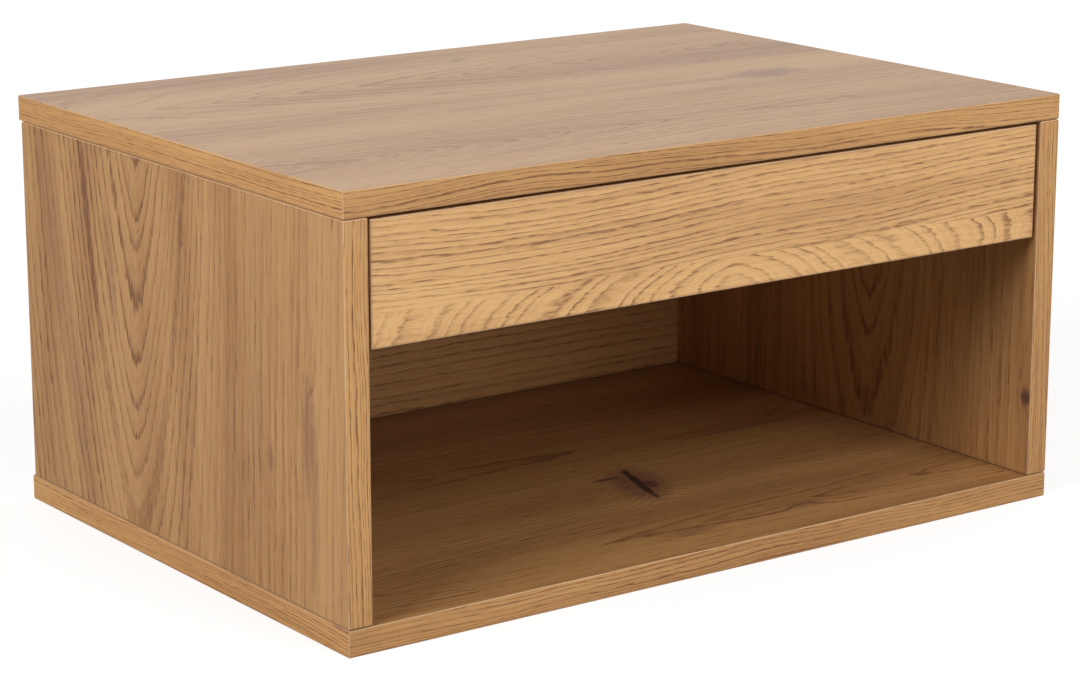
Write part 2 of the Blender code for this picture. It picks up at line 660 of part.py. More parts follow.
def build():
    cabinet = make_cabinet_boards()
    make_cabinet_dowels(cabinet)
    make_back_dowels(cabinet)
    make_hangers(cabinet["back"])

    drawer = joint_empty("drawer", (0, FRONT, SLIDE_MIDDLE))
    drawer_boards = make_drawer_boards(drawer)
    make_front_fittings(drawer_boards, drawer)
    make_drawer_screws(drawer_boards, drawer)
    for side, word in SIDES:
        line = (side * (INNER_HALF - SLIDE_SPACE / 2), SLIDE_FRONT, SLIDE_MIDDLE)
        groups = [f"{word}_{group}" for group in ("intermediate", "outer_cage", "inner_cage")]
        empties = {group: joint_empty(group, line) for group in groups}
        make_slide(side, word, cabinet[word], drawer_boards[word], drawer, empties)


for leftover in list(bpy.data.objects):
    bpy.data.objects.remove(leftover)
nightstand = new_collection("nightstand")
cutters = new_collection("cutters")
build()
bpy.context.view_layer.update()
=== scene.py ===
# %% [markdown]
# A wall-hung nightstand in wild-oak melamine: one drawer over an open niche.
# The boards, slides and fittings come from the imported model, which is the fixed frame.
# Here they get their finishes, and the small metal pieces get their fine shapes.
# Everything is in metres, +Z is up, the front faces -Y and left is -X.

import json
import math

import bmesh
import bpy
import numpy as np
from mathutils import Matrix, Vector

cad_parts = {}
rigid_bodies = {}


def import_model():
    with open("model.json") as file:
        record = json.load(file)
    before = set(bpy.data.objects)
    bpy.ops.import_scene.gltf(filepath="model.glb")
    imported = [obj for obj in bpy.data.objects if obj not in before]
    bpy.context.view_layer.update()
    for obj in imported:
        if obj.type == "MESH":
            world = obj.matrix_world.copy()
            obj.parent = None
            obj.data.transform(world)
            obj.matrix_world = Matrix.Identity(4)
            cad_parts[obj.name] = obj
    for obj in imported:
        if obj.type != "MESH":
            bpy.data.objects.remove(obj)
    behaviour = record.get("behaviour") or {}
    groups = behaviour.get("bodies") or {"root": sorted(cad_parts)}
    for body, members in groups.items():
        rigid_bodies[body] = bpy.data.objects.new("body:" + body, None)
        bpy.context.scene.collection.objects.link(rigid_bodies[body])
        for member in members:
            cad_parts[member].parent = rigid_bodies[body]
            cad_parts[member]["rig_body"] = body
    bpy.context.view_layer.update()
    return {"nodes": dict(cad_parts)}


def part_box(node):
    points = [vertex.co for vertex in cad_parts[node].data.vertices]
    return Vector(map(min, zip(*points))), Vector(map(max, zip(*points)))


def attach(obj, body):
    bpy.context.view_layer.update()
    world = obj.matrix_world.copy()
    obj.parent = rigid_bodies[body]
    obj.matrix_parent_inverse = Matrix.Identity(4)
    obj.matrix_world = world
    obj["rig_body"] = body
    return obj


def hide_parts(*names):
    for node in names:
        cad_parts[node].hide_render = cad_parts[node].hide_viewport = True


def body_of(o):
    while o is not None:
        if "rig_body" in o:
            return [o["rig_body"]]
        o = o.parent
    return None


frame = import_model()
nodes = frame["nodes"]


def corners_of(node):
    """The lowest and the highest corner of a CAD node, as arrays."""
    low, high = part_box(node)
    return np.array(low), np.array(high)


def paint(node, material):
    """Give a CAD node one material in place of its own."""
    mesh = nodes[node].data
    mesh.materials.clear()
    mesh.materials.append(material)


# %% [markdown]
# The camera stands in front of the left corner and looks down at the top. A long lens keeps
# the edges of the boards nearly parallel. Its turn and tilt are two angles, as on the head of
# a tripod.

# %% Camera
LENS = 105.8  # millimetres, on a 36 mm wide sensor
CAMERA_PLACE = (-1.0815, -1.4960, 0.5585)
CAMERA_TURN = 35.87  # degrees clockwise from looking along +Y
CAMERA_TILT = 14.05  # degrees below the horizon

lens = bpy.data.cameras.new("camera")
lens.lens = LENS
camera = bpy.data.objects.new("camera", lens)
camera.location = CAMERA_PLACE
camera.rotation_euler = (math.radians(90 - CAMERA_TILT), 0, math.radians(-CAMERA_TURN))
bpy.context.scene.collection.objects.link(camera)
bpy.context.scene.camera = camera
bpy.context.scene.view_settings.view_transform = "Standard"
print("camera", np.round(CAMERA_PLACE, 3), "lens", LENS, "mm")

# %% [markdown]
# Every finish below is a small network of shader nodes. Written node by node it would be long,
# so a few helpers make one node and link or set its inputs in a single line: a value that is a
# socket gets linked, and a plain number is typed into the input.

# %% Helpers for shader nodes
def feed(tree, socket, value):
    """Link value to socket if it is a socket, otherwise set it as a constant."""
    if isinstance(value, bpy.types.NodeSocket):
        tree.links.new(value, socket)
    elif value is not None:
        socket.default_value = value


def maths(tree, operation, *values):
    """One Math node: the operation applied to the values."""
    node = tree.nodes.new("ShaderNodeMath")
    node.operation = operation
    for socket, value in zip(node.inputs, values):
        feed(tree, socket, value)
    return node.outputs[0]


def vector_maths(tree, operation, *values):
    """One Vector Math node: the operation applied to the vectors."""
    node = tree.nodes.new("ShaderNodeVectorMath")
    node.operation = operation
    for socket, value in zip(node.inputs, values):
        feed(tree, socket, value)
    return node.outputs["Value" if operation == "LENGTH" else "Vector"]


def split(tree, vector):
    """The X, Y and Z of a vector."""
    node = tree.nodes.new("ShaderNodeSeparateXYZ")
    feed(tree, node.inputs[0], vector)
    return node.outputs


def combine(tree, x, y, z):
    """A vector from its X, Y and Z."""
    node = tree.nodes.new("ShaderNodeCombineXYZ")
    for socket, value in zip(node.inputs, (x, y, z)):
        feed(tree, socket, value)
    return node.outputs[0]


def rise(tree, value, low, high, start=0.0, end=1.0):
    """A smooth step: start while value is below low, end once it is above high."""
    node = tree.nodes.new("ShaderNodeMapRange")
    node.interpolation_type = "SMOOTHSTEP"
    for socket, number in zip(node.inputs, (value, low, high, start, end)):
        feed(tree, socket, number)
    return node.outputs[0]


def noise(tree, vector, scale=1.0, detail=1.0, roughness=0.5):
    """Smooth noise between 0 and 1, about 0.5."""
    node = tree.nodes.new("ShaderNodeTexNoise")
    feed(tree, node.inputs["Vector"], vector)
    node.inputs["Scale"].default_value = scale
    node.inputs["Detail"].default_value = detail
    node.inputs["Roughness"].default_value = roughness
    return node.outputs["Fac"]


def blend_numbers(tree, share, first, second):
    """first where share is 0, second where it is 1."""
    node = tree.nodes.new("ShaderNodeMix")
    for name, value in (("Factor", share), ("A", first), ("B", second)):
        feed(tree, node.inputs[name], value)
    return node.outputs["Result"]


def blend_colours(tree, share, first, second, mode="MIX"):
    """One Mix node on colours. A colour is a socket or (red, green, blue), linear."""
    node = tree.nodes.new("ShaderNodeMix")
    node.data_type = "RGBA"
    node.blend_type = mode
    feed(tree, node.inputs[0], share)
    for socket, value in ((node.inputs[6], first), (node.inputs[7], second)):
        feed(tree, socket, (*value, 1.0) if isinstance(value, tuple) else value)
    return node.outputs[2]


def new_group(name, inputs, outputs):
    """An empty node group. inputs: name to default value. outputs: name to kind of socket."""
    tree = bpy.data.node_groups.new(name, "ShaderNodeTree")
    for label, value in inputs.items():
        kind = {1: "Float", 3: "Vector", 4: "Color"}[np.size(value)]
        socket = tree.interface.new_socket(label, in_out="INPUT", socket_type="NodeSocket" + kind)
        socket.default_value = value
    for label, kind in outputs.items():
        tree.interface.new_socket(label, in_out="OUTPUT", socket_type="NodeSocket" + kind)
    given = tree.nodes.new("NodeGroupInput").outputs
    result = tree.nodes.new("NodeGroupOutput").inputs
    return tree, given, result


def use_group(tree, group, **values):
    """Place a group in a tree. Underscores in the names stand for spaces."""
    node = tree.nodes.new("ShaderNodeGroup")
    node.node_tree = group
    for label, value in values.items():
        feed(tree, node.inputs[label.replace("_", " ")], value)
    return node.outputs


print("shader helpers ready")

# %% [markdown]
# A melamine board is chipboard between two printed papers, with a printed band glued round
# its edges. So one board carries several prints: along the grain on its two faces, and a
# narrow print that runs the length of each edge. This group works out, from a point in the
# board's own axes (X along the grain, Y across it, Z through it), which face the point is on.
# The distances to the three pairs of faces tell: the smallest one is the face's own, and the
# middle one is the distance to the nearest arris. That is surer than reading the normal,
# which turns gradually over a rounded arris.

# %% Group: which face of a board
def make_board_faces():
    """Which face of a board a point is on, and how far it is from the edges."""
    tree, given, result = new_group(
        "board faces",
        {"Point": (0, 0, 0), "Half Size": (0.1, 0.1, 0.0075)},
        {"Along": "Float", "Across": "Float", "Face": "Float", "Band": "Float",
         "Arris": "Float", "Depth": "Float"},
    )
    inside = vector_maths(tree, "SUBTRACT", given["Half Size"],
                          vector_maths(tree, "ABSOLUTE", given["Point"]))
    x, y, z = split(tree, inside)
    px, py, pz = split(tree, given["Point"])
    end = maths(tree, "LESS_THAN", x, maths(tree, "MINIMUM", y, z))
    edge = maths(tree, "LESS_THAN", y, maths(tree, "MINIMUM", x, z))
    band = maths(tree, "MAXIMUM", end, edge)
    face = maths(tree, "SIGN", blend_numbers(tree, end, blend_numbers(tree, edge, pz, py), px))
    face = maths(tree, "MULTIPLY_ADD", edge, 4.0, maths(tree, "MULTIPLY_ADD", end, 9.0, face))
    low = maths(tree, "MINIMUM", x, y)
    high = maths(tree, "MAXIMUM", x, y)
    tree.links.new(blend_numbers(tree, end, px, py), result["Along"])
    tree.links.new(blend_numbers(tree, band, py, pz), result["Across"])
    tree.links.new(face, result["Face"])
    tree.links.new(band, result["Band"])
    tree.links.new(maths(tree, "MAXIMUM", low, maths(tree, "MINIMUM", high, z)), result["Arris"])
    tree.links.new(maths(tree, "MINIMUM", low, z), result["Depth"])
    return tree


board_faces = make_board_faces()
print("group:", board_faces.name)

# %% [markdown]
# Growth rings are nested cones round the heart of the tree. A saw cuts them in a flat plane,
# and the cuts are the nested arches that a joiner calls cathedrals. The group gives the
# distance from the heart, in metres: the root of the squared distance across the board and
# the squared depth of the heart below it, plus a share of the way along the board, because
# the tree tapers. A second share grows both ways from the heart's middle: where it is
# positive the arches close into islands, and where negative they face each other. Both
# shares fade out at some reach from the heart, where the grain of a real board runs straight.
# That fading is an output too, because straight grain also shows finer and fainter lines.

# %% Group: growth rings
def make_growth_rings():
    """The distance from the heart, and how far the grain is arched there."""
    tree, given, result = new_group(
        "growth rings",
        {"Along": 0.0, "Across": 0.0, "Heart Along": 0.0, "Heart Across": 0.0, "Lean": 0.0,
         "Heart Depth": 0.004, "Taper": 0.1, "Island": 0.0, "Spread": 0.02, "Reach": 0.06},
        {"Radius": "Float", "Arched": "Float"},
    )
    along = maths(tree, "SUBTRACT", given["Along"], given["Heart Along"])
    across = maths(tree, "SUBTRACT", given["Across"], given["Heart Across"])
    across = maths(tree, "SUBTRACT", across, maths(tree, "MULTIPLY", given["Lean"], along))

    def root_of_squares(first, second):
        """The root of first squared plus second squared."""
        squares = maths(tree, "MULTIPLY_ADD", first, first, maths(tree, "MULTIPLY", second, second))
        return maths(tree, "SQRT", squares)

    arch = maths(tree, "MULTIPLY", given["Taper"], along)
    arch = maths(tree, "MULTIPLY_ADD", given["Island"], root_of_squares(along, given["Spread"]), arch)
    away = maths(tree, "DIVIDE", across, given["Reach"])
    fade = maths(tree, "EXPONENT", maths(tree, "MULTIPLY", maths(tree, "MULTIPLY", away, away), -1.0))
    ring = root_of_squares(across, given["Heart Depth"])
    ring = maths(tree, "MULTIPLY_ADD", arch, fade, ring)
    tree.links.new(ring, result["Radius"])
    tree.links.new(fade, result["Arched"])
    return tree


growth_rings = make_growth_rings()
print("group:", growth_rings.name)

# %% [markdown]
# A knot is where a branch left the stem. The rings swell round it, its core is dark, and an
# old one has a crack. The group is a soft hill over an ellipse: the hill's height is added to
# the rings, so that they flow round the knot, and the stain and the crack darken the print.

# %% Group: knot
def make_knot():
    """How far a knot lifts the rings, and how dark it stains them."""
    tree, given, result = new_group(
        "knot",
        {"Along": 0.0, "Across": 0.0, "Knot Along": 0.0, "Knot Across": 0.0, "Lean": 0.0,
         "Slope": 0.0, "Length": 0.02, "Width": 0.01, "Swell": 0.01, "Stain": 0.5, "Crack": 0.0},
        {"Lift": "Float", "Dark": "Float"},
    )
    along = maths(tree, "SUBTRACT", given["Along"], given["Knot Along"])
    across = maths(tree, "SUBTRACT", given["Across"], given["Knot Across"])
    across = maths(tree, "SUBTRACT", across, maths(tree, "MULTIPLY", given["Slope"], along))
    along = maths(tree, "SUBTRACT", along, maths(tree, "MULTIPLY", given["Lean"], across))
    ripple = noise(tree, combine(tree, given["Along"], given["Across"], 0.7), 90.0, 2.0)
    ripple = maths(tree, "MULTIPLY_ADD", ripple, 1.1, -0.55)
    u = maths(tree, "DIVIDE", along, given["Length"])
    v = maths(tree, "DIVIDE", across, given["Width"])
    square = maths(tree, "MULTIPLY_ADD", u, u, maths(tree, "MULTIPLY", v, v))
    hill = maths(tree, "EXPONENT", maths(tree, "MULTIPLY", square, -1.0))
    rough = maths(tree, "ADD", square, ripple)
    stain = maths(tree, "MULTIPLY", rise(tree, rough, 0.0, 1.5, 1.0, 0.0), given["Stain"])
    thin = maths(tree, "MULTIPLY", u, 5.0)
    slit = maths(tree, "MULTIPLY_ADD", thin, thin, maths(tree, "MULTIPLY", v, v))
    slit = rise(tree, maths(tree, "MULTIPLY_ADD", ripple, 1.2, slit), 0.15, 1.0, 1.0, 0.0)
    crack = maths(tree, "MULTIPLY", slit, given["Crack"])
    tree.links.new(maths(tree, "MULTIPLY", hill, given["Swell"]), result["Lift"])
    tree.links.new(maths(tree, "ADD", stain, crack), result["Dark"])
    return tree


knot = make_knot()
print("group:", knot.name)

# %% [markdown]
# The oak print itself. Oak is ring-porous: each year's growth starts with a row of open pores,
# which show as a dark broken line, and ends in smooth pale wood. So the shade is a saw-tooth
# of the ring number, steep on one side and fading on the other, with finer rows between.
# Layers of noise, all drawn out along the grain, make it wood. A wide one bends the rings and
# a fine one frays them. Others break the rows into dashes, strew the pores, and add the broad
# streaks and the thin threads of colour. Each is given by how many features it has to the
# metre along the grain and across it.
# Stains come last: first mauve, as round a knot, and brown where they are darkest.

# %% Group: oak print
STRAW = (0.600, 0.350, 0.158)
HONEY = (0.470, 0.250, 0.108)
UMBER = (0.215, 0.094, 0.042)
STAIN_MAUVE = (0.150, 0.055, 0.050)
KNOT_BROWN = (0.050, 0.022, 0.014)


def make_oak_print():
    """Colour, roughness and height of the print, from the rings and stains."""
    tree, given, result = new_group(
        "oak print",
        {"Along": 0.0, "Across": 0.0, "Radius": 0.0, "Face": 0.0, "Seed": 0.0,
         "Arched": 0.5, "Ring Width": 0.006, "Figure": 0.6, "Wander": 0.006, "Dark": 0.0,
         "Tone": (1.0, 1.0, 1.0, 1.0)},
        {"Colour": "Color", "Roughness": "Float", "Height": "Float"},
    )
    along, across = given["Along"], given["Across"]
    sheet = maths(tree, "MULTIPLY_ADD", given["Face"], 3.7, given["Seed"])

    def grain(lengthwise, crosswise, detail=1.0, shift=0.0):
        """Noise with so many features to the metre along the grain and across it."""
        point = combine(tree, maths(tree, "MULTIPLY", along, lengthwise),
                        maths(tree, "MULTIPLY", across, crosswise),
                        maths(tree, "ADD", sheet, shift))
        return noise(tree, point, 1.0, detail)

    bend = maths(tree, "SUBTRACT", grain(5.0, 15.0, 1.5), 0.5)
    fibre = maths(tree, "SUBTRACT", grain(50.0, 330.0, 2.5, 5.0), 0.5)
    ring = maths(tree, "MULTIPLY_ADD", bend, given["Wander"], given["Radius"])
    ring = maths(tree, "DIVIDE", ring, given["Ring Width"])
    years = noise(tree, combine(tree, ring, sheet, 0.0), 0.45, 1.0)
    ring = maths(tree, "MULTIPLY_ADD", years, 2.6, ring)
    ring = maths(tree, "MULTIPLY_ADD", fibre, 0.55, ring)
    year = maths(tree, "FRACT", ring)
    pore_row = maths(tree, "MULTIPLY", rise(tree, year, 0.62, 0.90),
                     rise(tree, year, 0.93, 1.0, 1.0, 0.0))
    dashes = rise(tree, grain(130.0, 800.0, 1.5, 19.0), 0.36, 0.60, 0.35, 1.15)
    late_wood = rise(tree, year, 0.10, 0.90)
    small_year = maths(tree, "FRACT", maths(tree, "MULTIPLY", ring, 2.63))
    small_row = maths(tree, "MULTIPLY", rise(tree, small_year, 0.45, 0.8),
                      rise(tree, small_year, 0.85, 1.0, 1.0, 0.0))
    strong = rise(tree, grain(4.0, 26.0, 1.0, 11.0), 0.35, 0.62, 0.45, 1.0)
    broken = rise(tree, grain(55.0, 330.0, 1.0, 13.0), 0.38, 0.60, 0.22, 1.0)
    strong = maths(tree, "MULTIPLY", strong, blend_numbers(tree, given["Arched"], broken, 1.0))
    strong = maths(tree, "MULTIPLY", strong, blend_numbers(tree, given["Arched"], 0.50, 1.0))
    line = maths(tree, "MULTIPLY", maths(tree, "MULTIPLY", pore_row, strong), given["Figure"])
    line = maths(tree, "MULTIPLY", line, dashes)
    line = maths(tree, "MULTIPLY_ADD", small_row, blend_numbers(tree, broken, 0.06, 0.20), line)

    pores = rise(tree, grain(80.0, 1300.0, 1.0, 17.0), 0.50, 0.72)
    pores = maths(tree, "MULTIPLY", pores, maths(tree, "MULTIPLY_ADD", line, 0.40, 0.16))
    streaks = maths(tree, "SUBTRACT", grain(1.8, 22.0, 2.0, 23.0), 0.5)
    threads = maths(tree, "SUBTRACT", grain(14.0, 380.0, 2.0, 29.0), 0.5)

    shade = maths(tree, "MULTIPLY_ADD", line, 0.62, 0.10)
    shade = maths(tree, "MULTIPLY_ADD", late_wood, 0.10, shade)
    shade = maths(tree, "ADD", shade, pores)
    shade = maths(tree, "MULTIPLY_ADD", streaks, 1.30, shade)
    plain_or_arched = blend_numbers(tree, given["Arched"], 0.72, 0.42)
    shade = maths(tree, "MULTIPLY_ADD", threads, plain_or_arched, shade)
    colour = blend_colours(tree, rise(tree, shade, -0.12, 0.42), STRAW, HONEY)
    colour = blend_colours(tree, rise(tree, shade, 0.22, 1.05), colour, UMBER)
    colour = blend_colours(tree, 1.0, colour, given["Tone"], "MULTIPLY")
    colour = blend_colours(tree, given["Dark"], colour, STAIN_MAUVE)
    colour = blend_colours(tree, rise(tree, given["Dark"], 0.60, 1.10), colour, KNOT_BROWN)
    tree.links.new(colour, result["Colour"])
    tree.links.new(maths(tree, "MULTIPLY_ADD", pores, 0.25, 0.42), result["Roughness"])
    height = maths(tree, "MULTIPLY_ADD", pores, -1.0, maths(tree, "MULTIPLY", line, -0.25))
    tree.links.new(height, result["Height"])
    return tree


oak_print = make_oak_print()
print("group:", oak_print.name)

# %% [markdown]
# The edge band ends in a rounded arris that is painted pale: partly its pale body, which the
# cutter has bared, and partly a painted highlight along the arris. A hairline of glue shows
# between the band and the face. Inside a hole the chipboard core is bare. This group puts
# those three on any board, from the distance to the arris and the depth below the face.

# %% Group: edge of a melamine board
BAND_BODY_AND_HIGHLIGHT = (0.70, 0.50, 0.33)
BAND_THICKNESS = 0.0010
CHIP_PALE = (0.50, 0.36, 0.20)
CHIP_DARK = (0.22, 0.13, 0.06)


def make_board_edge():
    """The print with its pale arris, part bared band and part painted highlight, its line of glue and its
    chipboard core.
    """
    tree, given, result = new_group(
        "board edge",
        {"Colour": (0.5, 0.3, 0.1, 1.0), "Roughness": 0.5, "Height": 0.0, "Point": (0, 0, 0),
         "Arris": 0.1, "Depth": 0.0, "Pale": 0.6},
        {"Colour": "Color", "Roughness": "Float", "Height": "Float"},
    )
    # Pale at the arris: partly the bared band, partly a painted highlight.
    worn = maths(tree, "MULTIPLY", rise(tree, given["Arris"], 0.0003, 0.0010, 1.0, 0.0), given["Pale"])
    colour = blend_colours(tree, worn, given["Colour"], BAND_BODY_AND_HIGHLIGHT)
    off_line = maths(tree, "ABSOLUTE", maths(tree, "SUBTRACT", given["Arris"], BAND_THICKNESS))
    glue = rise(tree, off_line, 0.00006, 0.00018, 0.35, 0.0)
    colour = blend_colours(tree, glue, colour, UMBER)
    core = rise(tree, given["Depth"], 0.00035, 0.00050)
    chips = rise(tree, noise(tree, given["Point"], 900.0, 3.0), 0.35, 0.65)
    colour = blend_colours(tree, core, colour, blend_colours(tree, chips, CHIP_DARK, CHIP_PALE))
    rough = blend_numbers(tree, core, blend_numbers(tree, worn, given["Roughness"], 0.34), 0.9)
    tree.links.new(colour, result["Colour"])
    tree.links.new(rough, result["Roughness"])
    tree.links.new(blend_numbers(tree, core, given["Height"], chips), result["Height"])
    return tree


board_edge = make_board_edge()
print("group:", board_edge.name)

# %% [markdown]
# Each oak board gets a material of its own, because each is cut from another part of the
# print. Taking the board's middle from each point centres the print, and swapping the
# coordinates lays its grain along the board's own X.
# The hearts and knots of a board are lists. Each heart rules a strip of the board as far as
# the border with the next one, so a board with two cathedrals just has two rows.

# %% Helper: material of one oak board
BAND_RING = 0.0021  # ring width on the edge bands
BAND_WANDER = 0.020
BAND_FIGURE = 1.25
BAND_TONE = (1.28, 1.22, 1.02)
BORDER_SWAY = 0.008  # how far the border between two hearts strays


def new_material(name):
    """A material with an empty node tree and a Principled BSDF: the tree and the shader."""
    material = bpy.data.materials.new(name)
    material.use_nodes = True
    tree = material.node_tree
    return material, tree, tree.nodes["Principled BSDF"]


def object_point(tree):
    """The shaded point, in the object's own coordinates."""
    return tree.nodes.new("ShaderNodeTexCoord").outputs["Object"]


def bump(tree, shader, height, depth, strength=1.0):
    """A Bump node from height, which is 0 to 1, to the shader's normal. depth is in metres."""
    node = tree.nodes.new("ShaderNodeBump")
    node.inputs["Strength"].default_value = strength
    node.inputs["Distance"].default_value = depth
    tree.links.new(height, node.inputs["Height"])
    tree.links.new(node.outputs["Normal"], shader.inputs["Normal"])


def oak_board(name, grain, hearts, borders=(), knots=(), seed=0.0, ring=0.006, figure=0.6,
              wander=0.006, pale=0.32, tone=(1.0, 1.0, 1.0)):
    """Give the CAD node its oak material. grain names the axes along and across the grain."""
    material, tree, shader = new_material("oak " + name)
    low, high = corners_of(name)
    half = (high - low) / 2
    axes = ["xyz".index(letter) for letter in grain]
    axes.append(3 - sum(axes))
    middle = vector_maths(tree, "SUBTRACT", object_point(tree), tuple((low + high) / 2))
    part = split(tree, middle)
    point = combine(tree, *(part[i] for i in axes))
    face = use_group(tree, board_faces, Point=point, Half_Size=tuple(half[axes]))
    along, across = face["Along"], face["Across"]
    rings = use_group(tree, growth_rings, Along=along, Across=across, **hearts[0])
    radius, arched = rings["Radius"], rings["Arched"]
    sway = noise(tree, combine(tree, along, seed, 0.0), 9.0)
    swayed = maths(tree, "MULTIPLY_ADD", sway, BORDER_SWAY, across)
    for heart, border in zip(hearts[1:], borders):
        rings = use_group(tree, growth_rings, Along=along, Across=across, **heart)
        beyond = maths(tree, "GREATER_THAN", swayed, border + BORDER_SWAY / 2)
        radius = blend_numbers(tree, beyond, radius, rings["Radius"])
        arched = blend_numbers(tree, beyond, arched, rings["Arched"])
    dark = 0.0
    for row in knots:
        spot = use_group(tree, knot, Along=along, Across=across, **row)
        radius = maths(tree, "ADD", radius, spot["Lift"])
        dark = maths(tree, "MAXIMUM", spot["Dark"], dark)
    front = maths(tree, "LESS_THAN", face["Band"], 0.5)
    dark = maths(tree, "MULTIPLY", front, dark)
    band = face["Band"]
    wood = use_group(
        tree, oak_print, Along=along, Across=across, Face=face["Face"], Seed=seed, Dark=dark,
        Arched=blend_numbers(tree, band, arched, 0.9),
        Radius=blend_numbers(tree, band, radius, across),
        Ring_Width=blend_numbers(tree, band, ring, BAND_RING),
        Wander=blend_numbers(tree, band, wander, BAND_WANDER),
        Figure=blend_numbers(tree, band, figure, BAND_FIGURE),
        Tone=blend_colours(tree, band, tone, BAND_TONE),
    )
    edge = use_group(
        tree, board_edge, Colour=wood["Colour"], Roughness=wood["Roughness"], Height=wood["Height"],
        Point=point, Arris=face["Arris"], Depth=face["Depth"], Pale=pale,
    )
    tree.links.new(edge["Colour"], shader.inputs["Base Color"])
    tree.links.new(edge["Roughness"], shader.inputs["Roughness"])
    shader.inputs["IOR"].default_value = 1.45
    bump(tree, shader, edge["Height"], 0.00012, 0.6)
    paint(name, material)


print("board helper ready")

# %% [markdown]
# The five boards of the cabinet. The grain of the top, the bottom and the back runs from side
# to side, and that of the side boards upright. Places of hearts, borders and knots are in
# metres from the board's middle. A long thin knot without a crack makes a streak. The tone
# shifts a board's colour, as between two rolls of paper. On the boards round the niche it is
# painted light and shade of the niche: it takes blue out of the bottom, the right side and
# the back, darkens the bottom and the right side, and makes the back redder.

# %% Cabinet boards
oak_board(
    "top_panel", "xy", seed=1.3, ring=0.0080, figure=0.55, wander=0.012, borders=[-0.010],
    tone=(0.88, 0.92, 1.02),
    hearts=[
        {"Heart_Along": 0.02, "Heart_Across": -0.112, "Heart_Depth": 0.005, "Island": -0.22, "Spread": 0.03},
        {"Heart_Along": 0.03, "Heart_Across": 0.086, "Heart_Depth": 0.006, "Taper": -0.22},
    ],
    knots=[
        {"Knot_Along": 0.110, "Knot_Across": -0.017, "Length": 0.060, "Width": 0.007, "Swell": 0.0,
         "Stain": 0.25},
        {"Knot_Along": 0.158, "Knot_Across": -0.017, "Length": 0.030, "Width": 0.014, "Swell": 0.012,
         "Stain": 0.55},
        {"Knot_Along": 0.033, "Knot_Across": 0.134, "Length": 0.007, "Width": 0.008, "Swell": 0.006,
         "Stain": 0.4, "Lean": 0.6},
        {"Knot_Along": -0.043, "Knot_Across": 0.036, "Length": 0.012, "Width": 0.003, "Swell": 0.002,
         "Stain": 0.35},
    ],
)
# tone: painted shade of the niche, darker and less blue.
oak_board(
    "bottom_panel", "xy", seed=4.1, ring=0.0050, figure=1.1, wander=0.014,
    tone=(0.84, 0.77, 0.63), borders=[-0.095],
    hearts=[
        {"Heart_Along": 0.10, "Heart_Across": -0.135, "Heart_Depth": 0.008, "Taper": -0.06,
         "Reach": 0.12},
        {"Heart_Along": -0.05, "Heart_Across": 0.028, "Heart_Depth": 0.012, "Taper": 0.05,
         "Reach": 0.12},
    ],
    knots=[
        {"Knot_Along": 0.036, "Knot_Across": -0.052, "Length": 0.019, "Width": 0.034, "Swell": 0.022,
         "Stain": 0.62, "Crack": 0.55, "Lean": 0.3},
        {"Knot_Along": 0.026, "Knot_Across": -0.035, "Length": 0.013, "Width": 0.0035, "Swell": 0.003,
         "Stain": 0.9},
        {"Knot_Along": 0.040, "Knot_Across": -0.058, "Length": 0.007, "Width": 0.011, "Swell": 0.0,
         "Stain": 0.9, "Lean": 0.3},
        {"Knot_Along": 0.165, "Knot_Across": 0.008, "Length": 0.045, "Width": 0.004, "Swell": 0.003,
         "Stain": 0.45},
        {"Knot_Along": 0.088, "Knot_Across": -0.143, "Length": 0.014, "Width": 0.006, "Swell": 0.006,
         "Stain": 0.35},
        {"Knot_Along": 0.0, "Knot_Across": -0.146, "Length": 0.020, "Width": 0.005, "Swell": 0.005,
         "Stain": 0.35},
    ],
)
oak_board(
    "left_side_panel", "zy", seed=7.7, ring=0.0075, figure=1.10, wander=0.010,
    tone=(1.0, 0.96, 0.88),
    borders=[0.044],
    hearts=[
        {"Heart_Across": 0.044, "Heart_Depth": 0.011, "Taper": -0.27, "Lean": -0.05, "Reach": 0.060},
        {"Heart_Across": 0.044, "Heart_Depth": 0.011, "Taper": -0.27, "Lean": -0.05, "Reach": 0.180},
    ],
    knots=[
        {"Knot_Along": -0.012, "Knot_Across": -0.140, "Length": 0.036, "Width": 0.007, "Swell": 0.010,
         "Stain": 0.38},
        {"Knot_Along": -0.032, "Knot_Across": -0.101, "Length": 0.010, "Width": 0.003, "Swell": 0.003,
         "Stain": 0.35},
        {"Knot_Along": -0.060, "Knot_Across": -0.144, "Length": 0.045, "Width": 0.003, "Swell": 0.002,
         "Stain": 0.30, "Slope": -0.05},
        {"Knot_Along": 0.0, "Knot_Across": 0.128, "Length": 0.130, "Width": 0.013, "Swell": 0.0,
         "Stain": 0.20, "Slope": 0.24},
        {"Knot_Along": 0.040, "Knot_Across": 0.072, "Length": 0.040, "Width": 0.006, "Swell": 0.003,
         "Stain": 0.28, "Slope": 0.10},
        {"Knot_Along": 0.0, "Knot_Across": -0.088, "Length": 0.120, "Width": 0.008, "Swell": 0.0,
         "Stain": 0.12},
    ],
)
# tone: painted shade of the niche, slightly darker and less blue.
oak_board(
    "right_side_panel", "zy", seed=9.2, ring=0.0090, figure=1.0, wander=0.008,
    tone=(0.95, 0.90, 0.78),
    hearts=[
        {"Heart_Along": 0.0, "Heart_Across": -0.030, "Heart_Depth": 0.010, "Taper": -0.22, "Reach": 0.05},
    ],
    knots=[
        {"Knot_Along": -0.060, "Knot_Across": -0.172, "Length": 0.006, "Width": 0.005, "Swell": 0.008,
         "Stain": 0.8},
    ],
)
# tone: painted light of the niche, redder and less blue.
oak_board(
    "back_panel", "xz", seed=12.4, ring=0.0062, figure=0.75, wander=0.005, tone=(1.10, 1.02, 0.82),
    hearts=[{"Heart_Across": -0.160, "Taper": 0.0, "Reach": 0.40}],
)
print("cabinet boards finished")
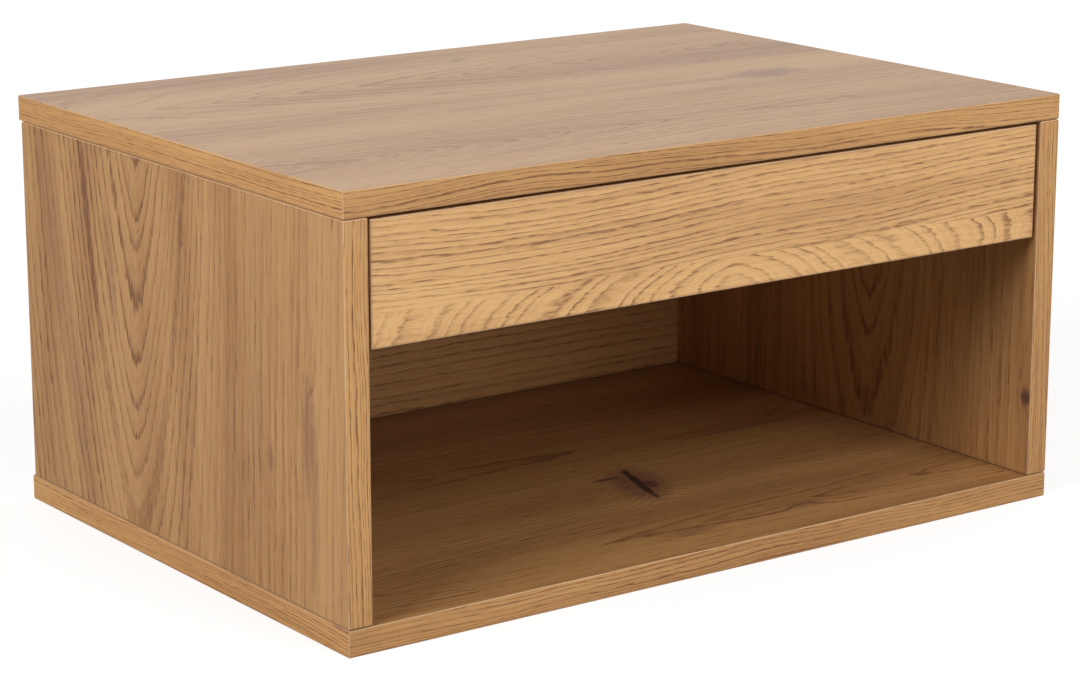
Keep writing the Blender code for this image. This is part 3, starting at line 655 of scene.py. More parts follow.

# %% [markdown]
# The drawer front has a print with fine rings: a border runs along it, with nearly straight
# grain above and a row of arches below. Its high tone makes it the palest board, and that is
# painted light, as from a strong light in front. The box behind it has plain straight grain.

# %% Drawer boards
# tone: painted light that brightens the drawer front.
oak_board(
    # pale: a stronger pale arris round the drawer front, part bared band, part painted highlight.
    "drawer_front", "xz", seed=15.0, ring=0.0036, figure=1.05, wander=0.016, pale=0.55,
    tone=(1.60, 1.65, 1.56), borders=[-0.016],
    hearts=[
        {"Heart_Along": 0.006, "Heart_Across": -0.038, "Heart_Depth": 0.024, "Taper": 0.0, "Island": 0.26,
         "Spread": 0.012},
        {"Heart_Along": -0.115, "Heart_Across": -0.120, "Taper": 0.0, "Island": -0.055, "Spread": 0.040,
         "Reach": 0.25},
    ],
)
for word, seed in (("left", 22.0), ("right", 23.0)):
    oak_board(
        f"drawer_{word}_side", "yz", seed=seed, ring=0.0045, figure=0.6, wander=0.008,
        hearts=[{"Heart_Across": -0.060, "Heart_Depth": 0.010, "Taper": 0.02}],
    )
oak_board(
    "drawer_back", "xz", seed=27.0, ring=0.0048, figure=0.6, wander=0.008,
    hearts=[{"Heart_Across": -0.050, "Heart_Depth": 0.010, "Taper": 0.02}],
)
print("drawer boards finished")

# %% [markdown]
# Steel and zinc are never one flat grey. Zinc plating has a faint spangle, rolled strip has
# fine lines along its length, and handling leaves dull patches. Where a tool or a ball rubs,
# the metal is brighter. The hollows are painted darker, which is painted shade. One group makes
# all of that. The Stretch vector draws the lines out, and Worn and the painted shade come
# from attributes that the made pieces carry: 1 at a rubbed rim, 1 at the bottom of a recess.

# %% Group: metal wear
def make_metal_wear():
    """Colour, roughness and height of metal with grain, spangle, wear and painted shade in recesses."""
    tree, given, result = new_group(
        "metal wear",
        {"Point": (0, 0, 0), "Stretch": (500, 500, 500), "Bright": (0.70, 0.71, 0.73, 1.0),
         "Dull": (0.45, 0.46, 0.47, 1.0), "Rough": 0.3, "Spangle": 0.3, "Worn": 0.0, "Sunk": 0.0},
        {"Colour": "Color", "Roughness": "Float", "Height": "Float"},
    )
    lines = noise(tree, vector_maths(tree, "MULTIPLY", given["Point"], given["Stretch"]), 1.0, 2.0)
    spangle = noise(tree, given["Point"], 420.0, 3.0, 0.65)
    patches = rise(tree, noise(tree, given["Point"], 60.0, 2.0), 0.45, 0.70)
    dull_and_recess_shade = maths(tree, "MULTIPLY", maths(tree, "SUBTRACT", spangle, 0.35), given["Spangle"])
    dull_and_recess_shade = maths(tree, "MULTIPLY_ADD", patches, 0.30, maths(tree, "MULTIPLY", dull_and_recess_shade, 2.0))
    dull_and_recess_shade = maths(tree, "MULTIPLY_ADD", maths(tree, "SUBTRACT", lines, 0.5), 0.5, dull_and_recess_shade)
    # The bottom of a recess is painted darker: painted shade.
    dull_and_recess_shade = maths(tree, "SUBTRACT", maths(tree, "MULTIPLY_ADD", given["Sunk"], 1.6, dull_and_recess_shade), given["Worn"])
    dull_and_recess_shade = maths(tree, "MINIMUM", maths(tree, "MAXIMUM", dull_and_recess_shade, 0.0), 1.6)
    colour = blend_colours(tree, dull_and_recess_shade, given["Bright"], given["Dull"])
    rough = maths(tree, "MULTIPLY_ADD", dull_and_recess_shade, 0.18, given["Rough"])
    rough = maths(tree, "MULTIPLY_ADD", lines, 0.06, rough)
    tree.links.new(colour, result["Colour"])
    tree.links.new(rough, result["Roughness"])
    tree.links.new(maths(tree, "MULTIPLY_ADD", spangle, 0.4, lines), result["Height"])
    return tree


metal_wear = make_metal_wear()
print("group:", metal_wear.name)

# %% [markdown]
# Four metals use the group. The slides and hanger plates are zinc-plated strip, rolled
# lengthwise. The ball cages are thinner pressed steel with a film of grease, so smoother and
# warmer. The screws are plated in a barrel, which dulls them evenly. The cam locks are
# die-cast, so they are dark, and lightly grained like orange peel.

# %% Metal materials
def attribute(tree, name):
    """A number that the piece's own mesh carries at each point. It is 0 where there is none."""
    node = tree.nodes.new("ShaderNodeAttribute")
    node.attribute_name = name
    return node.outputs["Fac"]


def metal(name, stretch, bright, dull, rough, spangle, depth):
    """A metal with the wear group: depth is the height of its grain in metres."""
    material, tree, shader = new_material(name)
    wear = use_group(
        tree, metal_wear, Point=object_point(tree), Stretch=stretch, Bright=(*bright, 1.0),
        Dull=(*dull, 1.0), Rough=rough, Spangle=spangle, Worn=attribute(tree, "worn"),
        Sunk=attribute(tree, "recess_shade"),
    )
    tree.links.new(wear["Colour"], shader.inputs["Base Color"])
    tree.links.new(wear["Roughness"], shader.inputs["Roughness"])
    shader.inputs["Metallic"].default_value = 1.0
    bump(tree, shader, wear["Height"], depth, 0.5)
    return material


finishes = {
    "zinc_plate": metal("zinc plate", (1400, 16, 1400), (0.74, 0.75, 0.77), (0.46, 0.47, 0.49),
                        0.24, 0.35, 0.00002),
    "cage_steel": metal("cage steel", (300, 30, 300), (0.62, 0.60, 0.57), (0.30, 0.28, 0.25),
                        0.20, 0.15, 0.00001),
    "screw_zinc": metal("screw zinc", (700, 700, 700), (0.66, 0.67, 0.68), (0.33, 0.34, 0.35),
                        0.30, 0.55, 0.00002),
    "cam_alloy": metal("cam alloy", (900, 900, 900), (0.46, 0.46, 0.46), (0.24, 0.24, 0.25),
                       0.44, 0.70, 0.00006),
}
print("metals:", list(finishes))

# %% [markdown]
# Beech is close and plain, with short brown flecks along its grain, which are its rays. A
# dowel is turned from a stick, so its grain runs along it, and there is one material for each
# of the three directions that the dowels point in.

# %% Group and materials: beech
BEECH_PALE = (0.66, 0.44, 0.26)
BEECH_FLECK = (0.34, 0.17, 0.08)
ALONG_FIBRE = 60.0  # features to the metre
ACROSS_FIBRE = 900.0


def make_beech_wood():
    """Colour, roughness and height of beech, its fibres drawn out by Stretch."""
    tree, given, result = new_group(
        "beech wood", {"Point": (0, 0, 0), "Stretch": (ALONG_FIBRE, ACROSS_FIBRE, ACROSS_FIBRE)},
        {"Colour": "Color", "Roughness": "Float", "Height": "Float"},
    )
    drawn = vector_maths(tree, "MULTIPLY", given["Point"], given["Stretch"])
    flecks = rise(tree, noise(tree, vector_maths(tree, "MULTIPLY", drawn, (3, 3, 3))), 0.62, 0.72)
    fibre = noise(tree, drawn, 1.0, 2.0)
    shade = maths(tree, "MULTIPLY_ADD", flecks, 0.7, maths(tree, "MULTIPLY", fibre, 0.35))
    tree.links.new(blend_colours(tree, shade, BEECH_PALE, BEECH_FLECK), result["Colour"])
    tree.links.new(maths(tree, "MULTIPLY_ADD", fibre, 0.15, 0.62), result["Roughness"])
    tree.links.new(fibre, result["Height"])
    return tree


beech_wood = make_beech_wood()


def beech(axis):
    """Beech with its grain along the axis of that number: 0 for X, 1 for Y, 2 for Z."""
    material, tree, shader = new_material("beech along " + "xyz"[axis])
    stretch = [ACROSS_FIBRE] * 3
    stretch[axis] = ALONG_FIBRE
    wood = use_group(tree, beech_wood, Point=object_point(tree), Stretch=stretch)
    tree.links.new(wood["Colour"], shader.inputs["Base Color"])
    tree.links.new(wood["Roughness"], shader.inputs["Roughness"])
    bump(tree, shader, wood["Height"], 0.00005, 0.6)
    return material


beeches = [beech(axis) for axis in range(3)]
print("beech materials:", len(beeches))

# %% [markdown]
# The drawer bottom is a thin hardboard sheet with a pale printed foil on it. The foil has a
# faint cloth-like print so that scratches don't show, and the sheet's bare edge is brown.

# %% Drawer bottom
FOIL_PALE = (0.70, 0.66, 0.58)
FOIL_THREAD = (0.56, 0.52, 0.45)
HARDBOARD = (0.25, 0.14, 0.07)
THREADS = 5200.0  # radians to the metre, so a thread is 1.2 mm


def finish_drawer_bottom():
    """Foil with a faint weave on the faces, bare hardboard at the edges."""
    material, tree, shader = new_material("drawer bottom foil")
    low, high = corners_of("drawer_bottom")
    point = vector_maths(tree, "SUBTRACT", object_point(tree), tuple((low + high) / 2))
    face = use_group(tree, board_faces, Point=point, Half_Size=tuple((high - low) / 2))
    x, y, z = split(tree, point)
    weave = maths(tree, "ADD", maths(tree, "SINE", maths(tree, "MULTIPLY", x, THREADS)),
                  maths(tree, "SINE", maths(tree, "MULTIPLY", y, THREADS)))
    fleck = noise(tree, point, 700.0, 3.0)
    shade = maths(tree, "MULTIPLY_ADD", weave, 0.12, maths(tree, "MULTIPLY", fleck, 0.7))
    colour = blend_colours(tree, shade, FOIL_PALE, FOIL_THREAD)
    colour = blend_colours(tree, face["Band"], colour, HARDBOARD)
    tree.links.new(colour, shader.inputs["Base Color"])
    tree.links.new(maths(tree, "MULTIPLY_ADD", fleck, 0.12, 0.40), shader.inputs["Roughness"])
    bump(tree, shader, weave, 0.00002, 0.4)
    paint("drawer_bottom", material)


finish_drawer_bottom()
print("drawer bottom finished")

# %% [markdown]
# The small pieces are all surfaces of a grid: rows that follow a profile, and columns that
# go round. Closing both ends with a fan to one point makes the surface a solid skin. The
# first helpers turn such grids into one mesh. Then finish_piece puts it in the scene, on the
# body of the node that it stands for and in that node's finish, and turned makes the grid of
# a turned shape.

# %% Helpers for made pieces
def tube_faces(rows, columns, start=0):
    """Quads round a closed grid, then two fans whose points follow the grid's own."""
    row = np.arange(rows - 1)[:, None] * columns + start
    this = np.arange(columns)[None, :]
    following = (this + 1) % columns
    quads = np.stack([row + this, row + following, row + columns + following, row + columns + this], -1)
    last = (rows - 1) * columns + start
    pole = rows * columns + start
    first_fan = np.stack([np.full(columns, pole), following[0] + start, this[0] + start], -1)
    last_fan = np.stack([np.full(columns, pole + 1), this[0] + last, following[0] + last], -1)
    return quads.reshape(-1, 4).tolist() + first_fan.tolist() + last_fan.tolist()


def with_poles(grid):
    """The grid's points as a list of rows, and the middles of its first and last ring."""
    poles = [grid[0].mean(axis=0), grid[-1].mean(axis=0)]
    return np.vstack([grid.reshape(-1, grid.shape[-1]), poles])


def skins(grids):
    """Points and faces of several closed grids in one mesh. A row is x, y, z, worn, and sunk, the painted
    shade of a recess.
    """
    points, faces, start = [], [], 0
    for grid in grids:
        points.append(with_poles(grid))
        faces += tube_faces(grid.shape[0], grid.shape[1], start)
        start += len(points[-1])
    return np.vstack(points), faces


def face_outwards(mesh):
    """Turn the faces of a closed mesh so that all of them point out."""
    shape = bmesh.new()
    shape.from_mesh(mesh)
    bmesh.ops.recalc_face_normals(shape, faces=shape.faces)
    shape.to_mesh(mesh)
    shape.free()


def finish_piece(node, kind, points, faces, material, smooth_angle=35):
    """Make the piece that stands for a CAD node. points has x, y, z and may have worn, and sunk, the painted
    shade of a recess.
    """
    mesh = bpy.data.meshes.new(f"{node}_{kind}")
    mesh.from_pydata(points[:, :3].tolist(), [], faces)
    for column, name in ((3, "worn"), (4, "recess_shade")):
        if points.shape[1] > column:
            mesh.attributes.new(name, "FLOAT", "POINT").data.foreach_set("value", points[:, column])
    face_outwards(mesh)
    mesh.shade_smooth()
    mesh.set_sharp_from_angle(angle=math.radians(smooth_angle))
    mesh.materials.append(material)
    piece = bpy.data.objects.new(mesh.name, mesh)
    bpy.context.scene.collection.objects.link(piece)
    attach(piece, body_of(nodes[node])[0])
    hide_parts(node)
    return piece


def turned(centre, out, radius, height, worn=0.0, recess_shade=0.0, columns=48, turn=0.0):
    """A grid of revolution: centre + radius (cos a, sin a) across the axis + height along it.
    radius, height, worn and sunk, the painted shade of a recess, are numbers to a row, or to a row and a
    column."""
    out = np.array(out, dtype=float)
    first = np.roll(np.abs(out), 1)
    second = np.cross(out, first)
    angle = turn + np.linspace(0, 2 * np.pi, columns, endpoint=False)
    radius, height = np.broadcast_arrays(radius, height, np.zeros((1, columns)))[:2]
    grid = np.zeros((*radius.shape, 5))
    across = np.cos(angle)[:, None] * first + np.sin(angle)[:, None] * second
    grid[..., :3] = np.array(centre) + radius[..., None] * across + height[..., None] * out
    grid[..., 3] = worn
    grid[..., 4] = recess_shade
    return grid


print("piece helpers ready")

# %% [markdown]
# A screw is turned, and then its thread is rolled: a ridge that climbs by one pitch in each
# turn. On a grid that is one formula, since a point is on the ridge when its height divided
# by the pitch, plus its angle in turns, is a whole number. The driver's recess sinks the
# flat of the head: a cross, or a hexagon for the big furniture screws. The rim of the recess
# is where a driver has rubbed.

# %% Screws
PAN_DOME = 0.0011  # how far the rim of a pan head lies below its middle
PAN_RIM = (0.0013, 0.0017, 0.0019)  # depths of the rim: its arris, its side, its underside
RECESS_DEPTH = 0.0015
SLOPE_OF_THREAD = 0.42  # half the width of the ridge, in half pitches
FACE_RINGS = 26
SCREW_COLUMNS = 60


def recess(radius, angle, size, shape):
    """How deep the driver's recess is, from 0 to 1, round a head's middle. A cross is deep
    where the smaller of |x| and |y| is small, a hexagon where its widest of three is."""
    x, y = radius * np.cos(angle), radius * np.sin(angle)
    if shape == "hexagon":
        turns = np.arange(3)[:, None, None] * np.pi / 3
        wide = np.abs(x * np.cos(turns) + y * np.sin(turns)).max(axis=0)
        return np.clip((size - wide) / (0.12 * size), 0, 1)
    narrow, wide = np.minimum(np.abs(x), np.abs(y)), np.maximum(np.abs(x), np.abs(y))
    arm = np.clip((0.26 * size - narrow) / (0.12 * size), 0, 1)
    return arm * np.clip((size - wide) / (0.45 * size), 0, 1)


def make_screw(node, out, shank, pitch, proud=0.0, head="flat", shape="cross", turn=0.0):
    """A screw in the box of its node. out is the way that its head faces. The thread's radius
    is root + (crest - root) x ridge, where ridge is 1 on the helix and falls to 0 beside it."""
    low, high = corners_of(node)
    axis = int(np.abs(out).argmax())
    size = high - low
    head_radius = size[axis - 1] / 2
    centre = (low + high) / 2
    centre[axis] = high[axis] if out[axis] > 0 else low[axis]
    length = size[axis]
    columns = SCREW_COLUMNS
    angle = np.linspace(0, 2 * np.pi, columns, endpoint=False)[None, :]

    face = head_radius * np.linspace(0.02, 0.97, FACE_RINGS)[:, None]
    if head == "pan":
        dome = -PAN_DOME * (face / head_radius) ** 4
        side_radius = head_radius * np.array([1.0, 1.0, 0.98])
        side_height = -np.array(PAN_RIM)
        neck = side_height[-1]
    else:
        dome = proud * (1 - (face / head_radius) ** 2)
        side_radius = np.array([head_radius, head_radius - 0.0001, shank + 0.0001])
        side_height = np.array([-0.00015, -0.0003, shank - head_radius])
        neck = shank - head_radius
    deep = recess(face, angle, head_radius * (0.62 if shape == "hexagon" else 0.72), shape)
    depth = min(0.55 * head_radius, RECESS_DEPTH)
    face_height = dome - depth * deep
    face_worn = np.where((deep > 0.02) & (deep < 0.6), 0.5, 0.0)

    tip = shank * 1.6
    along = np.arange(neck, -(length - tip), -pitch / 8)[:, None]
    phase = (along / pitch + angle / (2 * np.pi)) % 1.0
    ridge = np.clip(1 - np.abs(2 * phase - 1) / SLOPE_OF_THREAD, 0, 1)
    ridge = ridge * np.clip((neck - along) / pitch - 0.8, 0, 1)
    root = 0.70 * shank
    thread = root + (shank - root) * ridge
    point_height = -length + tip * np.array([0.75, 0.4, 0.15, 0.0])[:, None]
    point_radius = root * np.array([0.85, 0.6, 0.35, 0.12])[:, None] * np.ones((1, columns))

    radius = np.vstack([np.broadcast_to(face, deep.shape),
                        np.broadcast_to(side_radius[:, None], (3, columns)), thread, point_radius])
    height = np.vstack([face_height, np.broadcast_to(side_height[:, None], (3, columns)),
                        np.broadcast_to(along, thread.shape),
                        np.broadcast_to(point_height, point_radius.shape)])
    worn = np.vstack([face_worn, np.zeros((3, columns)), 0.3 * ridge, np.zeros((4, columns))])
    # Painted shade: the recess is painted darker towards its bottom.
    recess_shade = np.vstack([0.8 * deep, np.zeros((3 + len(thread) + 4, columns))])
    grid = turned(centre, out, radius, height, worn, recess_shade, columns, turn)
    points, faces = skins([grid])
    return finish_piece(node, "threaded", points, faces, finishes["screw_zinc"])


chance = np.random.default_rng(5)
screws = []
for side, word in ((-1, "left"), (1, "right")):
    for end in ("front", "rear"):
        screws.append(make_screw(f"{word}_cabinet_member_screw_{end}", (-side, 0, 0), 0.0018, 0.0014,
                                 proud=0.00012, turn=chance.uniform(0, 6)))
        screws.append(make_screw(f"{word}_drawer_member_screw_{end}", (side, 0, 0), 0.0018, 0.0014,
                                 head="pan", turn=chance.uniform(0, 6)))
    for end in ("inner", "outer"):
        screws.append(make_screw(f"hanger_screw_{word}_{end}", (0, 1, 0), 0.0018, 0.0014,
                                 turn=chance.uniform(0, 6)))
    for end in ("low", "high"):
        screws.append(make_screw(f"confirmat_{word}_{end}", (side, 0, 0), 0.0025, 0.0028,
                                 shape="hexagon", turn=chance.uniform(0, 6)))
    screws.append(make_screw(f"bottom_screw_{word}", (0, 0, -1), 0.0015, 0.0012,
                             turn=chance.uniform(0, 6)))
print(len(screws), "screws,", sum(len(screw.data.polygons) for screw in screws), "faces")

# %% [markdown]
# A dowel is fluted so that glue and air can pass it on its way into the hole. Its section is
# a circle with a row of shallow round grooves, and both ends are chamfered to find the hole.

# %% Dowels
FLUTES = 14
FLUTE_DEPTH = 0.00025
DOWEL_CHAMFER = 0.0010


def make_dowel(node):
    """A fluted dowel in its node's box: the radius is R - depth x |cos(flutes x angle / 2)|^3."""
    low, high = corners_of(node)
    axis = int((high - low).argmax())
    out = np.eye(3)[axis]
    half = (high - low)[axis] / 2
    full = (high - low)[axis - 1] / 2
    columns = FLUTES * 6
    angle = np.linspace(0, 2 * np.pi, columns, endpoint=False)[None, :]
    groove = FLUTE_DEPTH * np.abs(np.cos(FLUTES * angle / 2)) ** 3
    inset = DOWEL_CHAMFER * np.array([1.0, 0.6, 0.0, 0.0, 0.6, 1.0])[:, None]
    top = half - DOWEL_CHAMFER * np.array([0.0, 0.05, 1.0])[:, None]
    height = np.vstack([top, -top[::-1]])
    grid = turned((low + high) / 2, out, full - inset - groove, height, columns=columns)
    points, faces = skins([grid])
    return finish_piece(node, "fluted", points[:, :3], faces, beeches[axis], 50)


dowels = [make_dowel(node) for node in sorted(nodes) if "dowel" in node]
print(len(dowels), "dowels,", sum(len(dowel.data.polygons) for dowel in dowels), "faces")

# %% [markdown]
# A cam lock is a small zinc casting: a cap with a cross recess and a pointer, a curved wall
# that is open towards the bolt, and a floor. Turned half round, its wall draws the bolt's
# head in. The cap and floor are turned grids. The wall is a rectangle carried round an arc.

# %% Cam locks
CAM_CAP = 0.0024  # thickness of the cap
CAM_FLOOR = 0.0012
CAM_WALL = 0.0017
CAM_OPENING = math.radians(42)  # half the gap in the wall
CAM_RECESS = 0.0014
ARROW_DEPTH = 0.0003
ARROW_TIP = 0.0012 / 0.9 + 0.0038  # from the cam's axis
ARROW_FOOT = 0.0040


def carried_round(centre, out, inner, outer, low, high, start, end, steps=40):
    """A rectangle from radius inner to outer and height low to high, carried round an arc."""
    out = np.array(out, dtype=float)
    first = np.array([0.0, 1.0, 0.0])
    second = np.cross(out, first)
    angle = np.linspace(start, end, steps)[:, None]
    radius = np.array([inner, outer, outer, inner])[None, :]
    height = np.array([low, low, high, high])[None, :]
    grid = np.zeros((steps, 4, 5))
    grid[..., :3] = (np.array(centre) + (radius * np.cos(angle))[..., None] * first
                     + (radius * np.sin(angle))[..., None] * second
                     + (height + 0 * angle)[..., None] * out)
    return grid


def make_cam(node, side):
    """A cam lock in its node's box, its cap towards the inside of the drawer."""
    low, high = corners_of(node)
    radius = (high - low)[1] / 2
    depth = (high - low)[0]
    centre = (low + high) / 2
    centre[0] = low[0] if side > 0 else high[0]
    out = (-side, 0, 0)
    columns = 72
    angle = np.linspace(0, 2 * np.pi, columns, endpoint=False)[None, :]
    face = radius * np.linspace(0.01, 0.95, 34)[:, None]
    deep = recess(face, angle, 0.62 * radius, "cross")
    x, y = face * np.cos(angle), face * np.sin(angle)
    arrow = np.clip((0.9 * (ARROW_TIP - x) - np.abs(y)) / ARROW_DEPTH, 0, 1)
    arrow = arrow * np.clip((x - ARROW_FOOT) / 0.0002, 0, 1)
    face_height = -CAM_RECESS * deep - ARROW_DEPTH * arrow
    rim_radius = np.array([1.0, 1.0, 0.97, 0.5])[:, None] * radius + 0 * angle
    rim_height = np.array([-0.0003, 0.0002 - CAM_CAP, -CAM_CAP, -CAM_CAP])[:, None] + 0 * angle
    # The cross recess and the pointer's groove get painted shade, darker towards their bottoms.
    cap = turned(
        centre, out, np.vstack([face + 0 * angle, rim_radius]), np.vstack([face_height, rim_height]),
        np.vstack([np.where((deep > 0.02) & (deep < 0.7), 0.6, 0.0), 0 * rim_radius]),
        np.vstack([0.7 * deep + 0.3 * arrow, 0 * rim_radius]), columns, turn=np.pi / 4,
    )
    disc_radius = np.array([0.5, 0.97, 1.0, 1.0, 0.97, 0.5])[:, None] * radius
    disc_height = -depth + np.array([CAM_FLOOR, CAM_FLOOR, CAM_FLOOR - 0.0002, 0.0002, 0.0, 0.0])[:, None]
    floor_disc = turned(centre, out, disc_radius, disc_height, columns=columns)
    wall = carried_round(centre, out, radius - CAM_WALL, radius - 0.0001,
                         CAM_FLOOR - 0.0004 - depth, 0.0004 - CAM_CAP,
                         CAM_OPENING - np.pi, np.pi - CAM_OPENING)
    points, faces = skins([cap, floor_disc, wall])
    return finish_piece(node, "cast", points, faces, finishes["cam_alloy"])


cams = [make_cam("cam_lock_left", -1), make_cam("cam_lock_right", 1)]
print(len(cams), "cam locks,", len(cams[0].data.polygons), "faces each")

# %% [markdown]
# Slide members and ball cages are strip steel, rolled to a channel. Rolling leaves round
# folds, which are also the tracks for the balls. A section is a short line with its corners
# rounded, given a thickness on both sides of it and carried along Y. The ball tracks are
# polished by use, so the folds are worn bright. The steel's edges are left square.

# %% Rolled channels
def rounded_line(corners, radius, steps=7):
    """The line through the corners, each inner one replaced by an arc that touches both legs."""
    corners = np.array(corners, dtype=float)
    line = [corners[:1]]
    for before, here, after in zip(corners[:-2], corners[1:-1], corners[2:]):
        back = (before - here) / np.linalg.norm(before - here)
        ahead = (after - here) / np.linalg.norm(after - here)
        half = np.arccos(np.clip(back @ ahead, -1, 1)) / 2
        middle = here + (back + ahead) / np.linalg.norm(back + ahead) * radius / np.sin(half)
        start = here + back * radius / np.tan(half) - middle
        end = here + ahead * radius / np.tan(half) - middle
        share = np.linspace(0, 1, steps)[:, None]
        chord = start * (1 - share) + end * share
        line.append(middle + radius * chord / np.linalg.norm(chord, axis=1, keepdims=True))
    line.append(corners[-1:])
    return np.vstack(line)


def rolled_channel(section, thickness, radius, ends):
    """Points and faces of a strip: the section, half its thickness to each side along the
    normal, carried from one end to the other. worn is 1 in the middle of each fold."""
    line = rounded_line(section, radius)
    step = np.gradient(line, axis=0)
    normal = np.stack([-step[:, 1], step[:, 0]], -1)
    normal /= np.linalg.norm(normal, axis=1, keepdims=True)
    bend = np.linalg.norm(np.gradient(normal, axis=0), axis=1)
    worn = np.clip(bend * 4, 0, 1)
    loop = np.vstack([line + normal * thickness / 2, (line - normal * thickness / 2)[::-1]])
    loop_worn = 0.8 * np.concatenate([worn, worn[::-1]])
    count = len(loop)
    along = np.linspace(*ends, 9)
    points = np.zeros((len(along), count, 5))
    points[..., 0] = loop[:, 0]
    points[..., 1] = along[:, None]
    points[..., 2] = loop[:, 1]
    points[..., 3] = loop_worn
    row = np.arange(len(along) - 1)[:, None] * count
    this = np.arange(count)[None, :]
    following = (this + 1) % count
    quads = np.stack([row + this, row + following, row + count + following, row + count + this], -1)
    half = np.arange(count // 2 - 1)
    cap = np.stack([half, half + 1, count - 2 - half, count - 1 - half], -1)
    faces = quads.reshape(-1, 4).tolist() + cap.tolist() + (cap + (len(along) - 1) * count).tolist()
    return points.reshape(-1, 5), faces


print("channel helpers ready")

# %% [markdown]
# The slide has three members, one in the other, and a cage of balls between each two. Their
# places come from the CAD boxes. The web of each is the upright part, and its two flanges
# reach towards the middle of the slide's 12.7 mm space. Slots and round holes are punched in
# the web, which a Boolean does best, and its result is baked into the mesh at once.

# %% Slide members
STRIP = 0.0010
FOLD = 0.0013  # radius of a fold, to the middle of the steel
LIP = 0.0029  # height of a turned-in lip, from the outside of its flange
SLIDE_MIDDLE = float(np.mean([corner[2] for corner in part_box("left_drawer_member")]))
PUNCH_COLUMNS = 32
PUNCH_REACH = 0.002  # how far the punch goes to each side of the web


def punch(piece, holes, x):
    """Cut round-ended slots through the web at x. Each hole is (y, length, height)."""
    grids = []
    angle = np.linspace(0, 2 * np.pi, PUNCH_COLUMNS, endpoint=False)
    for y, length, height in holes:
        radius = height / 2
        loop_y = y + radius * np.cos(angle) + np.sign(np.cos(angle)) * (length - height) / 2
        loop_z = SLIDE_MIDDLE + radius * np.sin(angle)
        grid = np.zeros((2, PUNCH_COLUMNS, 3))
        grid[..., 0] = np.array([x - PUNCH_REACH, x + PUNCH_REACH])[:, None]
        grid[..., 1] = loop_y
        grid[..., 2] = loop_z
        grids.append(grid)
    points, faces = skins(grids)
    cutter_mesh = bpy.data.meshes.new("punch")
    cutter_mesh.from_pydata(points.tolist(), [], faces)
    face_outwards(cutter_mesh)
    cutter = bpy.data.objects.new("punch", cutter_mesh)
    bpy.context.scene.collection.objects.link(cutter)
    boolean = piece.modifiers.new("punched", "BOOLEAN")
    boolean.operation = "DIFFERENCE"
    boolean.solver = "EXACT"
    boolean.object = cutter
    view = bpy.context.evaluated_depsgraph_get()
    cut = bpy.data.meshes.new_from_object(piece.evaluated_get(view))
    piece.modifiers.clear()
    old = piece.data
    piece.data = cut
    bpy.data.meshes.remove(old)
    bpy.data.objects.remove(cutter)
    cut.name = piece.name


def make_member(node, web_outside, lip, holes):
    """One member. web_outside is true where the web is nearer to the side board. lip is the
    height of its turned-in lips to the middle of the steel, or 0 for a plain channel."""
    low, high = corners_of(node)
    near, far = sorted((low[0], high[0]), key=abs)
    web, edge = (far, near) if web_outside else (near, far)
    inward = 1 if edge > web else -1
    web = web + inward * STRIP / 2
    half = (high - low)[2] / 2 - STRIP / 2
    corners = [(edge, half), (web, half), (web, -half), (edge, -half)]
    if lip:
        lip_x = edge - inward * STRIP / 2
        corners = [(lip_x, half - lip), (lip_x, half), (web, half), (web, -half), (lip_x, -half),
                   (lip_x, lip - half)]
    section = np.array(corners) + np.array([0.0, SLIDE_MIDDLE])
    points, faces = rolled_channel(section, STRIP, FOLD, (low[1], high[1]))
    piece = finish_piece(node, "rolled", points, faces, finishes["zinc_plate"])
    if holes:
        punch(piece, holes, web)
    return piece


# The holes of a member: each is (y of its middle, length, height).
INTERMEDIATE_HOLES = [(-0.135, 0.009, 0.0045), (-0.112, 0.0045, 0.0045), (-0.050, 0.012, 0.006),
                      (0.030, 0.006, 0.006), (0.085, 0.012, 0.006), (0.125, 0.0045, 0.0045)]
DRAWER_HOLES = [(-0.140, 0.0095, 0.0042), (-0.118, 0.0042, 0.0042), (-0.045, 0.0095, 0.0042),
                (0.010, 0.0042, 0.0042), (0.050, 0.0095, 0.0042), (0.120, 0.0095, 0.0042)]
members = []
for word in ("left", "right"):
    members.append(make_member(f"{word}_cabinet_member", True, LIP - STRIP / 2, []))
    members.append(make_member(f"{word}_intermediate_member", True, LIP - STRIP / 2,
                               INTERMEDIATE_HOLES))
    members.append(make_member(f"{word}_drawer_member", False, 0.0, DRAWER_HOLES))
print(len(members), "slide members,", sum(len(member.data.polygons) for member in members), "faces")

# %% [markdown]
# A ball cage is the thinnest strip, and the balls sit in its two flanges, half in and half
# out. A ball is a closed grid of latitude and longitude. All ten balls and their strip are
# one piece, because they travel together.

# %% Ball cages
BALL_RADIUS = 0.00145
CAGE_STRIP = 0.0006
BALLS_TO_ROW = 5
BALL_TO_END = 0.008
CAGE_FOLD = 0.0009
CAGE_TO_BALL = 0.0004


def ball(centre, rings=12, columns=20):
    """A sphere: its radius at a height is R sin(latitude), and its height is R cos(latitude)."""
    latitude = np.linspace(0.02, np.pi - 0.02, rings)[:, None]
    return turned(centre, (0, 0, 1), BALL_RADIUS * np.sin(latitude), BALL_RADIUS * np.cos(latitude),
                  worn=0.4, columns=columns)


